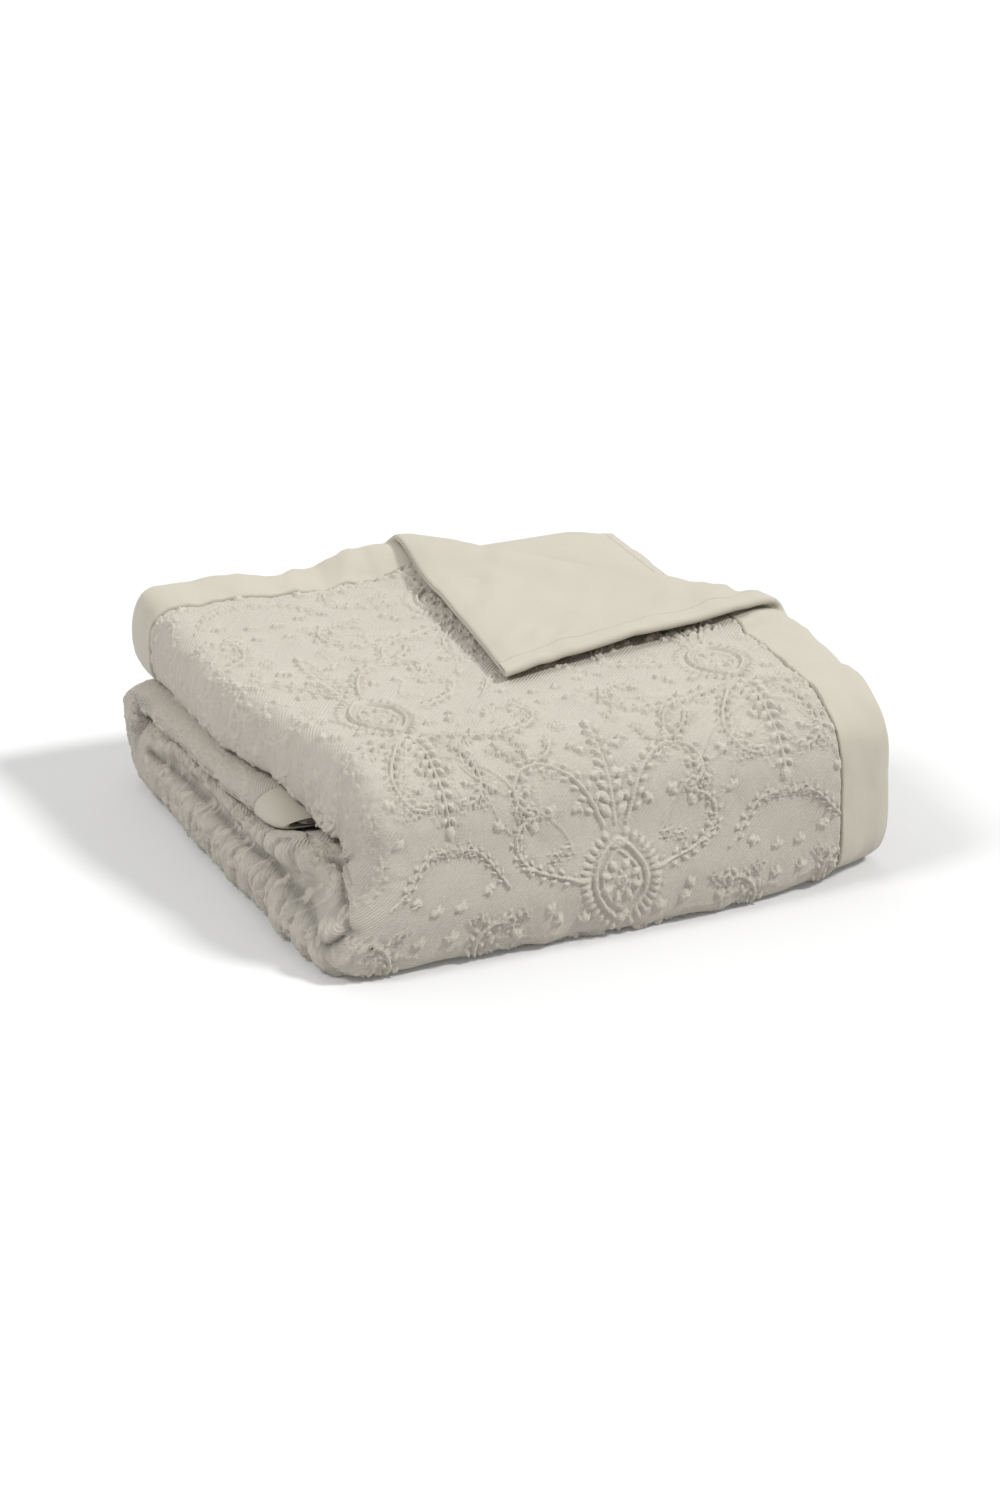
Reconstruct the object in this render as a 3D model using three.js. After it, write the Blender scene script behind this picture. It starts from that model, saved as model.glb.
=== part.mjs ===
// A padded jacquard bedspread, folded for the shelf, with one corner turned back.
// Millimetres, +Z up. X runs along the folded pack, from the folded end (-X) to the open end (+X).
// Y runs from the rounded front fold (-Y) to the back, and the pack lies on Z = 0.
import * as THREE from 'three';

// Driving dimensions of the folded pack
const packLength = 585;
const packDepth = 543;
const packHeight = 183;
const slabs = 3; // letter fold: bottom, middle and top slab
const layersInSlab = 4; // each slab is the cloth folded in half twice

// The cloth, measured from its back side (0) up to its jacquard face
const clothThickness = 12;
const backingThickness = 1.7;
const seamGap = 0.3; // between two pieces that are sewn together
const edgeShare = 0.6; // thickness left at the edges of the cloth
const edgeTaper = 15; // how far in from the edges it thins
const borderWidth = 60; // border strip on the jacquard side
const endHem = 15; // border strip turned over to the back side, across the ends
const sideHem = 5; // the same along the sides

// Where the layers end or turn, seen from above
const secondLayerEnd = 244;
const innerTurnRight = 256;
const innerTurnLeft = -260;
const middleSlabEnd = -125;

// The front fold, at the middle of a slab
const frontTopRadius = 48;
const frontLowRadius = 36;

// The corner that is turned back: the fold runs from the back edge to the open end
const turned = {
  backX: -24, // where the fold starts on the back edge
  endY: -38, // where it runs out on the open end
  tip: [-38, -88], // where the corner of the cloth comes to lie
  rollAtBack: 6.3, // radius of the fold
  rollAtEnd: 6.6,
  liftAtBack: 17, // how far the cloth is lifted where it turns
  liftAtEnd: 3,
  liftLength: 84,
  liftFull: 5, // before the fold
  crown: 6, // swell of the flap
  laidDown: 0.3, // share of the flap after which it comes to rest
  clearance: 2,
};

const pitch = (packHeight - clothThickness) / (slabs * layersInSlab - 1);
const slabThickness = layersInSlab * pitch;
const stackHeight = slabs * slabThickness;
const restGap = (pitch - clothThickness) / 2; // the evenly folded stack starts this far below the cloth
const halfCloth = clothThickness / 2;
const halfLength = packLength / 2;
const halfDepth = packDepth / 2;
const endCentreX = -halfLength + slabThickness / 2; // centre of the rounded folded end
const frontWallY = -halfDepth + slabThickness / 2;
const backCentreY = halfDepth - slabThickness;
const frontDrop = stackHeight - slabThickness - frontTopRadius - frontLowRadius;

const { clamp, lerp } = THREE.MathUtils;
const bell = (value, width) => Math.exp(-((value / width) ** 2));

// 0 at from, 1 at to, with level ends; from may be the greater
function ramp(value, from, to) {
  const t = clamp((value - from) / (to - from), 0, 1);
  return t * t * (3 - 2 * t);
}

const fade = (value, [from, to]) => ramp(value, from, to);

// A flat path of straight runs and turns. at(s, offset) gives the point a distance s along it,
// moved by offset to the right of the way it runs.
function foldedPath(start, heading, steps) {
  const runs = [];
  let point = start;
  let [hx, hy] = heading;
  let along = 0;
  for (const step of steps) {
    const run = { from: along, point, heading: [hx, hy], ...step };
    const length = step.straight ?? step.radius * Math.abs(step.turn);
    along += length;
    runs.push({ ...run, length });
    const end = placeOnRun({ ...run, length }, length, 0);
    point = end.point;
    [hx, hy] = end.heading;
  }
  return {
    total: along,
    runs,
    at(s, offset) {
      const run = runs.find((r) => s <= r.from + r.length) ?? runs[runs.length - 1];
      const place = placeOnRun(run, s - run.from, offset);
      return place.point;
    },
  };
}

function placeOnRun(run, s, offset) {
  const [px, py] = run.point;
  const [hx, hy] = run.heading;
  if (run.straight !== undefined) {
    return { point: [px + hx * s + hy * offset, py + hy * s - hx * offset], heading: [hx, hy] };
  }
  const side = Math.sign(run.turn); // +1 turns left, -1 turns right
  const angle = (side * s) / run.radius;
  const centre = [px - side * hy * run.radius, py + side * hx * run.radius];
  const [cos, sin] = [Math.cos(angle), Math.sin(angle)];
  const turnedHeading = [hx * cos - hy * sin, hx * sin + hy * cos];
  const reach = run.radius + side * offset;
  const point = [
    centre[0] + side * turnedHeading[1] * reach,
    centre[1] - side * turnedHeading[0] * reach,
  ];
  return { point, heading: turnedHeading };
}

// How far a rounded quarter swells towards the corner of its square
function swellToCorner(dx, dz, radius, power) {
  const reach = Math.hypot(dx, dz);
  if (reach < 1e-6) return 1;
  const [c, s] = [Math.abs(dx) / reach, Math.abs(dz) / reach];
  const swell = (c ** power + s ** power) ** (-1 / power) - 1;
  return 1 + swell * Math.min(1, (reach / radius) ** 2);
}

// How the length of the cloth runs through one slab: top layer, folded end, bottom layer,
// inner turn at the open end, third layer, inner turn at the folded end, second layer.
const slabPath = foldedPath([halfLength, slabThickness - pitch / 2], [-1, 0], [
  { straight: halfLength - endCentreX },
  { radius: (slabThickness - pitch) / 2, turn: Math.PI },
  { straight: innerTurnRight - endCentreX },
  { radius: pitch / 2, turn: Math.PI },
  { straight: innerTurnRight - innerTurnLeft },
  { radius: pitch / 2, turn: -Math.PI },
  { straight: secondLayerEnd - innerTurnLeft },
]);

// How the four-layer slab is then folded in three, from the free edge at the top of the back.
const letterPath = foldedPath([halfDepth, stackHeight - slabThickness / 2], [-1, 0], [
  { straight: halfDepth - frontWallY - frontTopRadius },
  { radius: frontTopRadius, turn: Math.PI / 2 },
  { straight: frontDrop },
  { radius: frontLowRadius, turn: Math.PI / 2 },
  { straight: backCentreY - frontWallY - frontLowRadius },
  { radius: slabThickness / 2, turn: Math.PI },
  { straight: backCentreY - middleSlabEnd },
]);

const clothLength = slabPath.total;
const clothWidth = letterPath.total;
const topLayerEnd = slabPath.runs[0].length;
const topSlabEnd = letterPath.runs[0].length;
const bottomRun = letterPath.runs[4];
const backTurnStart = bottomRun.from + bottomRun.length;

// Where the pack is not evenly folded. A pair of places says where a move starts and where it is full.
const endFold = {
  innerPower: 3.4, // how square the folded end is, on the slab's inner side
  outerPower: 2.2,
  creaseDepth: 11,
  creaseWidth: 5.5,
  creaseHeight: slabThickness * 0.32, // from the inner side of the slab
  creaseStart: [bottomRun.from - 20, bottomRun.from + 15],
  creaseEnd: [backTurnStart, backTurnStart - 110],
};
const lowCorners = { frontPower: [7, 3], frontPowerX: [120, 290], endPower: 3 };
const press = {
  share: [0.25, 0.5], // how far the middle slab is pressed thin, at the open end and the folded end
  x: [0, -250],
  closedFrom: [12, 55], // the others meet in front of its end, and start to behind it
  closedX: [-190, -265],
  closedTo: 28,
  frontY: [frontWallY - 12, frontWallY + slabThickness / 2],
  meeting: packHeight * 0.51,
  gap: 3,
};
const gape = { size: 9, height: 76, lip: 5, reach: 18, x: [-215, -285], y: [130, 205], backY: [262, 225] };
const underCorner = { rise: 17, out: [12, 75], less: 0.6, lessX: [185, 245], z: [105, 160] };
const backCorner = { rise: 11, x: [-90, -220], y: [120, 270], z: [125, 180] };
const spread = {
  size: 18,
  x: [-150, -265],
  upperLess: 10, // how much less the middle slab spreads than the bottom one
  upperZ: [42, 60],
  backY: [110, 220],
  closedLess: 0.6,
  topZ: [80, 118],
  frontLess: 0.9,
  frontY: [-200, -290],
};
const drawnIn = { size: 38, x: [-60, -265], y: [60, -215], z: [20, 85], bottomReach: 50, middleShare: 0.6 };
const frontSpread = { size: 21, x: [300, 30], y: [-120, -250], z: [125, 45] };
const openEnd = { back: 14, backX: [215, 292], backY: [-120, -240], lower: 2, lowerX: [235, 292], lowerZ: [60, 180] };

// The turned corner, in plan
const foldStart = new THREE.Vector2(turned.backX, halfDepth);
const foldEnd = new THREE.Vector2(halfLength, turned.endY);
const foldLength = foldStart.distanceTo(foldEnd);
const foldAlong = foldEnd.clone().sub(foldStart).normalize();
const foldOut = new THREE.Vector2(-foldAlong.y, foldAlong.x); // towards the cloth's corner
const cornerReach = new THREE.Vector2(halfLength, halfDepth).sub(foldStart).dot(foldOut);
const cornerAlong = new THREE.Vector2(halfLength, halfDepth).sub(foldStart).dot(foldAlong);
const tipFromFold = new THREE.Vector2(...turned.tip).sub(foldStart);
const tipReach = -tipFromFold.dot(foldOut);
const tipShift = tipFromFold.dot(foldAlong) - cornerAlong;

function foldCoordinates(x, y) {
  const rel = new THREE.Vector2(x, y).sub(foldStart);
  return { along: rel.dot(foldAlong), out: rel.dot(foldOut) };
}

function liftAt(along, out) {
  const share = clamp(along / foldLength, 0, 1);
  const most = lerp(turned.liftAtBack, turned.liftAtEnd, share);
  return most * ramp(out, -turned.liftLength, -turned.liftFull);
}

// The middle of the top layer, with its corner turned back
function topLayerMiddle(x, y) {
  const level = stackHeight - pitch / 2;
  const { along, out } = foldCoordinates(x, y);
  if (out <= 0) return new THREE.Vector3(x, y, level + liftAt(along, out));
  const share = clamp(along / foldLength, 0, 1);
  const radius = lerp(turned.rollAtBack, turned.rollAtEnd, share);
  const rollLength = Math.PI * radius;
  const rise = liftAt(along, 0);
  let travel; // inwards from the fold
  let z;
  if (out < rollLength) {
    travel = -radius * Math.sin(out / radius);
    z = level + rise + radius * (1 - Math.cos(out / radius));
  } else {
    const stretch = tipReach / (cornerReach - rollLength);
    travel = (out - rollLength) * stretch;
    const rest = clothThickness + turned.clearance;
    const lowered = ramp(travel, tipReach * turned.laidDown, tipReach);
    const crown = turned.crown * Math.sin(Math.PI * clamp(travel / tipReach, 0, 1));
    z = level + liftAt(along, -travel) + lerp(2 * radius, rest, lowered) + crown;
  }
  const shifted = along + (tipShift * out) / cornerReach;
  const plan = foldStart.clone().addScaledVector(foldAlong, shifted).addScaledVector(foldOut, -travel);
  return new THREE.Vector3(plan.x, plan.y, z);
}

// The folded end of a slab is fuller than a half circle, most of all on its inner side.
// Along the bottom slab it has a crease.
function foldedEnd(x, slabHeight, v) {
  if (x > endCentreX) return [x, slabHeight];
  const half = slabThickness / 2;
  const power = slabHeight < half ? endFold.innerPower : endFold.outerPower;
  const grow = swellToCorner(x - endCentreX, slabHeight - half, half, power);
  const alongBottom = fade(v, endFold.creaseStart) * fade(v, endFold.creaseEnd);
  const crease = endFold.creaseDepth * bell(slabHeight - endFold.creaseHeight, endFold.creaseWidth) * alongBottom;
  const moved = endCentreX + (x - endCentreX) * grow + crease * ramp(x, endCentreX, endCentreX - half);
  return [moved, half + (slabHeight - half) * grow];
}

// u runs along the cloth from the open end of the top layer, v across it from the back edge,
// and n through it from the back side to the jacquard face. The cloth is thinner at its edges.
function clothPoint(u, v, n) {
  const fromEdge = Math.min(u, v, clothLength - u, clothWidth - v);
  const offset = (n - halfCloth) * lerp(edgeShare, 1, ramp(fromEdge, 0, edgeTaper));
  if (u < topLayerEnd && v < topSlabEnd && foldCoordinates(halfLength - u, halfDepth - v).out > 0) {
    const [x, y, step] = [halfLength - u, halfDepth - v, 0.05];
    const middle = topLayerMiddle(x, y);
    const acrossX = topLayerMiddle(x + step, y).sub(topLayerMiddle(x - step, y));
    const acrossY = topLayerMiddle(x, y + step).sub(topLayerMiddle(x, y - step));
    return middle.addScaledVector(acrossX.cross(acrossY).normalize(), offset);
  }
  const [x, slabHeight] = foldedEnd(...slabPath.at(u, offset), v);
  const [y, z] = letterPath.at(v, slabHeight - slabThickness / 2);
  if (u < topLayerEnd && v < topSlabEnd) {
    const { along, out } = foldCoordinates(x, y);
    return new THREE.Vector3(x, y, z + liftAt(along, out));
  }
  return new THREE.Vector3(x, y, z);
}

// The middle slab is pressed thin; where share is 1 the top and bottom slabs meet.
function pressSlabs(z, share) {
  const [evenLow, evenHigh] = [slabThickness - restGap, 2 * slabThickness - restGap];
  const low = lerp(evenLow, press.meeting - press.gap / 2, share);
  const high = lerp(evenHigh, press.meeting + press.gap / 2, share);
  if (z < evenLow) return (z * low) / evenLow;
  if (z < evenHigh) return low + ((z - evenLow) * (high - low)) / (evenHigh - evenLow);
  return packHeight - ((packHeight - z) * (packHeight - high)) / (packHeight - evenHigh);
}

// Which slabs are drawn in at the front of the folded end: the top slab and the front fold fully,
// the bottom slab only where it leaves the fold, the middle slab in part.
function drawnShare(v) {
  if (v < bottomRun.from) return 1;
  if (v < backTurnStart) return ramp(v, bottomRun.from + drawnIn.bottomReach, bottomRun.from);
  return drawnIn.middleShare * ramp(v, backTurnStart, backTurnStart + slabThickness);
}

// Squares a rounded low corner of the pack: both distances are measured outwards from its centre.
function squareCorner(across, down, radius, power) {
  if (across < 0 || down < 0) return 1;
  return swellToCorner(across, down, radius, power);
}

// How the folded pack settles under its own weight, seen on a point p of the evenly folded pack
function settle(p, v) {
  p.z -= restGap;
  const lowRadius = frontLowRadius + slabThickness / 2 - restGap;
  const lowCentreY = frontWallY + frontLowRadius;
  const frontPower = lerp(...lowCorners.frontPower, fade(p.x, lowCorners.frontPowerX));
  const frontGrow = squareCorner(lowCentreY - p.y, lowRadius - p.z, lowRadius, frontPower);
  p.y = lowCentreY + (p.y - lowCentreY) * frontGrow;
  p.z = lowRadius + (p.z - lowRadius) * frontGrow;
  const half = slabThickness / 2 - restGap;
  const endGrow = squareCorner(endCentreX - p.x, half - p.z, half, lowCorners.endPower);
  p.x = endCentreX + (p.x - endCentreX) * endGrow;
  p.z = half + (p.z - half) * endGrow;

  const closedFrom = lerp(...press.closedFrom, fade(p.x, press.closedX));
  const closed = ramp(p.y, middleSlabEnd + closedFrom, middleSlabEnd - press.closedTo);
  const pressed = lerp(lerp(...press.share, fade(p.x, press.x)), 1, closed);
  p.z = pressSlabs(p.z, pressed * fade(p.y, press.frontY));

  // the back turn gapes at the folded end
  const gaping = fade(p.x, gape.x) * fade(p.y, gape.y) * fade(p.y, gape.backY);
  const fromGap = p.z - gape.height;
  p.z += gape.size * gaping * Math.tanh(fromGap / gape.lip) * bell(fromGap, gape.reach);

  // the cloth under the turned corner stands up, as nothing lies on it, and so does the back corner
  const { out } = foldCoordinates(p.x, p.y);
  const lessAtEnd = 1 - underCorner.less * fade(p.x, underCorner.lessX);
  p.z += underCorner.rise * fade(out, underCorner.out) * lessAtEnd * fade(p.z, underCorner.z);
  p.z += backCorner.rise * fade(p.x, backCorner.x) * fade(p.y, backCorner.y) * fade(p.z, backCorner.z);

  // the folded end spreads low down, and is drawn in at its front
  const upperLess = spread.upperLess * (1 - fade(p.y, spread.backY)) * (1 - spread.closedLess * closed);
  const middle = spread.size - upperLess * fade(p.z, spread.upperZ);
  const low = middle - (spread.size - upperLess) * fade(p.z, spread.topZ);
  const spreading = low * (1 - spread.frontLess * fade(p.y, spread.frontY)) * fade(p.x, spread.x);
  const drawing = drawnIn.size * fade(p.y, drawnIn.y) * fade(p.x, drawnIn.x) * fade(p.z, drawnIn.z);
  p.x += drawing * drawnShare(v) - spreading;

  // the front spreads low down too, and the open end is drawn back
  p.y -= frontSpread.size * fade(p.x, frontSpread.x) * fade(p.z, frontSpread.z) * fade(p.y, frontSpread.y);
  p.y += openEnd.back * fade(p.x, openEnd.backX) * fade(p.y, openEnd.backY);
  p.z -= openEnd.lower * fade(p.x, openEnd.lowerX) * fade(p.z, openEnd.lowerZ);
  return p;
}

function between(from, to, count) {
  return Array.from({ length: count }, (_, i) => from + ((to - from) * (i + 1)) / count);
}

// Where the cloth is cut into facets. Straight runs are cut at these places of the folded pack,
// turns into these counts, and the turned corner across its roll, its lift and its flap.
const facets = {
  x: [-215, -130, 0, 130, 215],
  y: [-165, -130, -98, -60, 20, 120],
  turnsOfSlab: [8, 2, 2],
  turnsOfLetter: [4, 4, 5],
  roll: 4,
  lift: 2,
  flap: 4,
  clearOfTurn: 5, // no cut closer than this to a turn
  clearOfBorder: 4, // nor to the border
};

// Lines that cut the flat cloth into facets, across one of its two ways
function facetLines(path, places, turns, hem) {
  const lines = [0, hem, edgeTaper, borderWidth];
  let turnIndex = 0;
  path.runs.forEach((run) => {
    const to = run.from + run.length;
    if (run.straight === undefined) {
      lines.push(...between(run.from, to, turns[turnIndex]));
      turnIndex += 1;
    } else {
      const [start, way] = [run.point[0], run.heading[0]];
      const inRun = places.map((place) => run.from + (place - start) * way);
      const isLevel = Math.round(way) !== 0;
      const isClear = (s) => s > run.from + facets.clearOfTurn && s < to - facets.clearOfTurn;
      if (isLevel) lines.push(...inRun.filter(isClear));
      lines.push(to);
    }
  });
  lines.push(...[borderWidth, edgeTaper, hem].map((depth) => path.total - depth));
  const clear = (s) => {
    const fromEdge = Math.min(s, path.total - s);
    return fromEdge > borderWidth + facets.clearOfBorder || [0, hem, edgeTaper, borderWidth].includes(fromEdge);
  };
  return [...new Set(lines)].filter(clear).sort((a, b) => a - b);
}

const uLines = facetLines(slabPath, facets.x, facets.turnsOfSlab, endHem);
const vLines = facetLines(letterPath, facets.y, facets.turnsOfLetter, sideHem);

// Lines across the turned corner, each given as a distance out from the fold
const rollReach = Math.PI * turned.rollAtBack;
const cornerCuts = [
  ...between(0, -turned.liftLength, facets.lift),
  0,
  ...between(0, rollReach, facets.roll),
  ...between(rollReach, cornerReach, facets.flap).slice(0, -1),
];

const nearLine = 1e-7; // a point closer than this to a line lies on it
const nearPoint = 1e-3; // and two points closer than this are one

// Splits a convex outline of [u, v] points by a line: side(point) is a signed distance
function cut(outline, side) {
  const halves = [[], []];
  outline.forEach((point, i) => {
    const next = outline[(i + 1) % outline.length];
    const [here, there] = [side(point), side(next)];
    if (here >= -nearLine) halves[0].push(point);
    if (here <= nearLine) halves[1].push(point);
    if (Math.abs(here) > nearLine && Math.abs(there) > nearLine && here * there < 0) {
      const t = here / (here - there);
      const crossing = [point[0] + (next[0] - point[0]) * t, point[1] + (next[1] - point[1]) * t];
      halves.forEach((half) => half.push(crossing));
    }
  });
  return halves.filter((half) => half.length > 2);
}

const isBefore = (a, b) => (Math.abs(a[0] - b[0]) > nearPoint ? a[0] < b[0] : a[1] < b[1]);

// Turns the list of points so that it starts at the one with the lowest u, then the lowest v.
// Sheets that lie on each other then get the same diagonals.
function fromFirstPoint(outline) {
  const first = outline.reduce((best, p, i) => (isBefore(p, outline[best]) ? i : best), 0);
  return [...outline.slice(first), ...outline.slice(0, first)];
}

function cells(outline) {
  let found = [outline];
  const divide = (side) => {
    found = found.flatMap((cell) => cut(cell, side));
  };
  uLines.forEach((line) => divide(([u]) => u - line));
  vLines.forEach((line) => divide(([, v]) => v - line));
  const inCorner = ([u, v]) => u < topLayerEnd && v < topSlabEnd;
  for (const reach of cornerCuts) {
    found = found.flatMap((cell) =>
      cell.every(inCorner)
        ? cut(cell, ([u, v]) => foldCoordinates(halfLength - u, halfDepth - v).out - reach)
        : [cell],
    );
  }
  return found.map(fromFirstPoint);
}

// Builds one closed sheet from an outline on the flat cloth. levelsOf(centre) lists the layers
// [low, high] that the sheet has there, through the cloth.
function sheetGeometry(outline, levelsOf) {
  const vertices = [];
  const seen = new Map();
  const vertex = (u, v, n) => {
    const key = [u, v, n].map((value) => Math.round(value * 1e4)).join();
    if (!seen.has(key)) {
      seen.set(key, vertices.length / 3);
      vertices.push(...settle(clothPoint(u, v, n), v).toArray());
    }
    return seen.get(key);
  };
  const faces = new Map();
  const addFace = (loop) => {
    const key = [...loop].sort((a, b) => a - b).join();
    if (faces.has(key)) faces.delete(key);
    else faces.set(key, loop);
  };
  for (const cell of cells(outline)) {
    const centre = [0, 1].map((k) => cell.reduce((sum, p) => sum + p[k], 0) / cell.length);
    for (const [low, high] of levelsOf(centre)) {
      const floor = cell.map(([u, v]) => vertex(u, v, low));
      const roof = cell.map(([u, v]) => vertex(u, v, high));
      addFace(roof);
      addFace([floor[0], ...floor.slice(1).reverse()]);
      cell.forEach((_, i) => {
        const j = (i + 1) % cell.length;
        const wall = [floor[i], floor[j], roof[j], roof[i]];
        addFace(isBefore(cell[i], cell[j]) ? wall : [...wall.slice(1), wall[0]]);
      });
    }
  }
  const index = [];
  for (const loop of faces.values()) {
    for (let i = 2; i < loop.length; i++) index.push(loop[0], loop[i - 1], loop[i]);
  }
  const geometry = new THREE.BufferGeometry();
  geometry.setAttribute('position', new THREE.Float32BufferAttribute(vertices, 3));
  geometry.setIndex(index);
  return geometry;
}

const looks = {
  jacquard: { color: 0xdbd4c9, roughness: 0.95, metalness: 0 },
  sateen: { color: 0xd8d2c3, roughness: 0.85, metalness: 0 },
};

function mesh(name, geometry, look) {
  const made = new THREE.Mesh(geometry, new THREE.MeshStandardMaterial(looks[look]));
  made.name = name;
  return made;
}

const halfGap = seamGap / 2;
const faceLevel = [backingThickness + seamGap, clothThickness];
const backLevel = [0, backingThickness];

// A rectangle on the flat cloth, set in from its ends and its sides
function rectangle(fromEnds, fromSides) {
  const [right, far] = [clothLength - fromEnds, clothWidth - fromSides];
  return [[fromEnds, fromSides], [right, fromSides], [right, far], [fromEnds, far]];
}

function panel() {
  const inset = borderWidth + halfGap;
  const sheet = sheetGeometry(rectangle(inset, inset), () => [faceLevel]);
  return mesh('jacquard_panel', sheet, 'jacquard');
}

function backing() {
  const sheet = sheetGeometry(rectangle(endHem + halfGap, sideHem + halfGap), () => [backLevel]);
  return mesh('backing', sheet, 'sateen');
}

// A border strip covers the edge of the face and turns over the edge as a narrow hem.
// It is mitred at both ends. Strips on a side run along u, strips on an end run along v.
function border(name, onSide, atStart) {
  const [width, length] = onSide ? [clothWidth, clothLength] : [clothLength, clothWidth];
  const hem = onSide ? sideHem : endHem;
  const inner = borderWidth - halfGap;
  const mitre = halfGap * Math.SQRT2;
  const across = (depth) => (atStart ? depth : width - depth);
  const corners = [
    [mitre, 0],
    [length - mitre, 0],
    [length - inner - mitre, inner],
    [inner + mitre, inner],
  ].map(([s, depth]) => (onSide ? [s, across(depth)] : [across(depth), s]));
  const area = THREE.ShapeUtils.area(corners.map(([x, y]) => new THREE.Vector2(x, y)));
  const outline = area > 0 ? corners : corners.reverse();
  const middleLevel = [backingThickness, backingThickness + seamGap];
  const levelsOf = ([u, v]) => {
    const depth = onSide ? Math.min(v, clothWidth - v) : Math.min(u, clothLength - u);
    return depth < hem ? [backLevel, middleLevel, faceLevel] : [faceLevel];
  };
  return mesh(name, sheetGeometry(outline, levelsOf), 'sateen');
}

// The box of the settled pack is centred over the origin.
const bedspread = new THREE.Group();
bedspread.add(
  panel(),
  backing(),
  border('border_back', true, true),
  border('border_inner', true, false),
  border('border_open_end', false, true),
  border('border_second', false, false),
);

const box = new THREE.Box3().setFromObject(bedspread);
const centre = box.getCenter(new THREE.Vector3());
bedspread.children.forEach((child) => child.geometry.translate(-centre.x, -centre.y, -box.min.z));

export default bedspread;
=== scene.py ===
import math

import bmesh
import bpy
import numpy as np
from mathutils import Matrix, Vector


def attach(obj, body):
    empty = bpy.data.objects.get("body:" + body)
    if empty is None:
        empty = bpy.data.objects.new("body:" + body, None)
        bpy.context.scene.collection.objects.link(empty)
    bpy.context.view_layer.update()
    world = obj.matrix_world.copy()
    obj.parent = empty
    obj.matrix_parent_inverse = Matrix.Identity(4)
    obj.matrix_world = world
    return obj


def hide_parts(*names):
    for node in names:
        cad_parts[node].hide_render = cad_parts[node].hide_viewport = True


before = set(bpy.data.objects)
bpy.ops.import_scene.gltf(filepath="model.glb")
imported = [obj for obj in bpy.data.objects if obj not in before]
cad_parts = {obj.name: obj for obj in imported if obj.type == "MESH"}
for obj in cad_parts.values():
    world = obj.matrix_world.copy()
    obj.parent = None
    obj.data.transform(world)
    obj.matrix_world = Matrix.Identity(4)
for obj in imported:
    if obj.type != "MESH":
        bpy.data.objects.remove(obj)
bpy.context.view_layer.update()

# The folded pack and its cloth in millimetres, as the solids have them
pack = {
    "length": 585, "depth": 543, "height": 183, "slabs": 3, "layersInSlab": 4, "centre": (-7.42, -8.96),
    "underside": 0.1,
}
cloth = {
    "thickness": 12, "backing": 1.7, "gap": 0.3, "edgeShare": 0.6, "edgeTaper": 15,
    "border": 60, "endHem": 15, "sideHem": 0.6, "edgeRound": 4.2,
}
layerEnd = {"second": 244, "innerRight": 256, "innerLeft": -260, "middleSlab": -125}
frontFold = {"topRadius": 48, "lowRadius": 36}
turned = {
    "backX": -24, "endY": -38, "tip": (-38, -88), "rollAtBack": 6.3, "rollAtEnd": 6.6,
    "liftAtBack": 17, "liftAtEnd": 3, "liftLength": 84, "liftedBy": 5,
    "crown": 6, "clearance": 2, "laidFrom": 0.3,
}

pitch = (pack["height"] - cloth["thickness"]) / (pack["slabs"] * pack["layersInSlab"] - 1)
slab = pack["layersInSlab"] * pitch
stack = pack["slabs"] * slab
restGap = (pitch - cloth["thickness"]) / 2
halfCloth = cloth["thickness"] / 2
halfLength = pack["length"] / 2
halfDepth = pack["depth"] / 2
endCentreX = -halfLength + slab / 2
frontWallY = -halfDepth + slab / 2
backCentreY = halfDepth - slab


def ramp(value, low, high):
    t = np.clip((value - low) / (high - low), 0, 1)
    return t * t * (3 - 2 * t)


def fade(value, places):
    return ramp(value, *places)


def lerp(a, b, share):
    return a + (b - a) * share


def bell(value, width):
    return np.exp(-((value / width) ** 2))


def readTable(names, *rows):
    names = names.split()
    return [dict(zip(names, row)) for row in rows]


def placeOnRun(run, s, offset):
    (px, py), (hx, hy) = run["point"], run["heading"]
    if "straight" in run:
        return (px + hx * s + hy * offset, py + hy * s - hx * offset), (hx, hy)
    side = math.copysign(1, run["turn"])
    angle = side * s / run["radius"]
    centre = px - side * hy * run["radius"], py + side * hx * run["radius"]
    cos, sin = np.cos(angle), np.sin(angle)
    heading = hx * cos - hy * sin, hx * sin + hy * cos
    reach = run["radius"] + side * offset
    return (centre[0] + side * heading[1] * reach, centre[1] - side * heading[0] * reach), heading


def foldedPath(start, heading, steps):
    runs, point, along = [], start, 0.0
    for kind, size, turn in steps:
        step = {"straight": size} if kind == "straight" else {"radius": size, "turn": turn}
        length = size if kind == "straight" else size * abs(turn)
        run = {"start": along, "length": length, "point": point, "heading": heading, **step}
        runs.append(run)
        point, heading = placeOnRun(run, length, 0.0)
        along += length
    return {"runs": runs, "total": along}


def onPath(path, s, offset):
    x, y = np.zeros_like(s), np.zeros_like(s)
    last = len(path["runs"]) - 1
    for i, run in enumerate(path["runs"]):
        after = s > run["start"] if i else np.full(s.shape, True)
        before = s <= run["start"] + run["length"] if i < last else np.full(s.shape, True)
        here = after & before
        (x[here], y[here]), _ = placeOnRun(run, s[here] - run["start"], offset[here])
    return x, y


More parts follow.
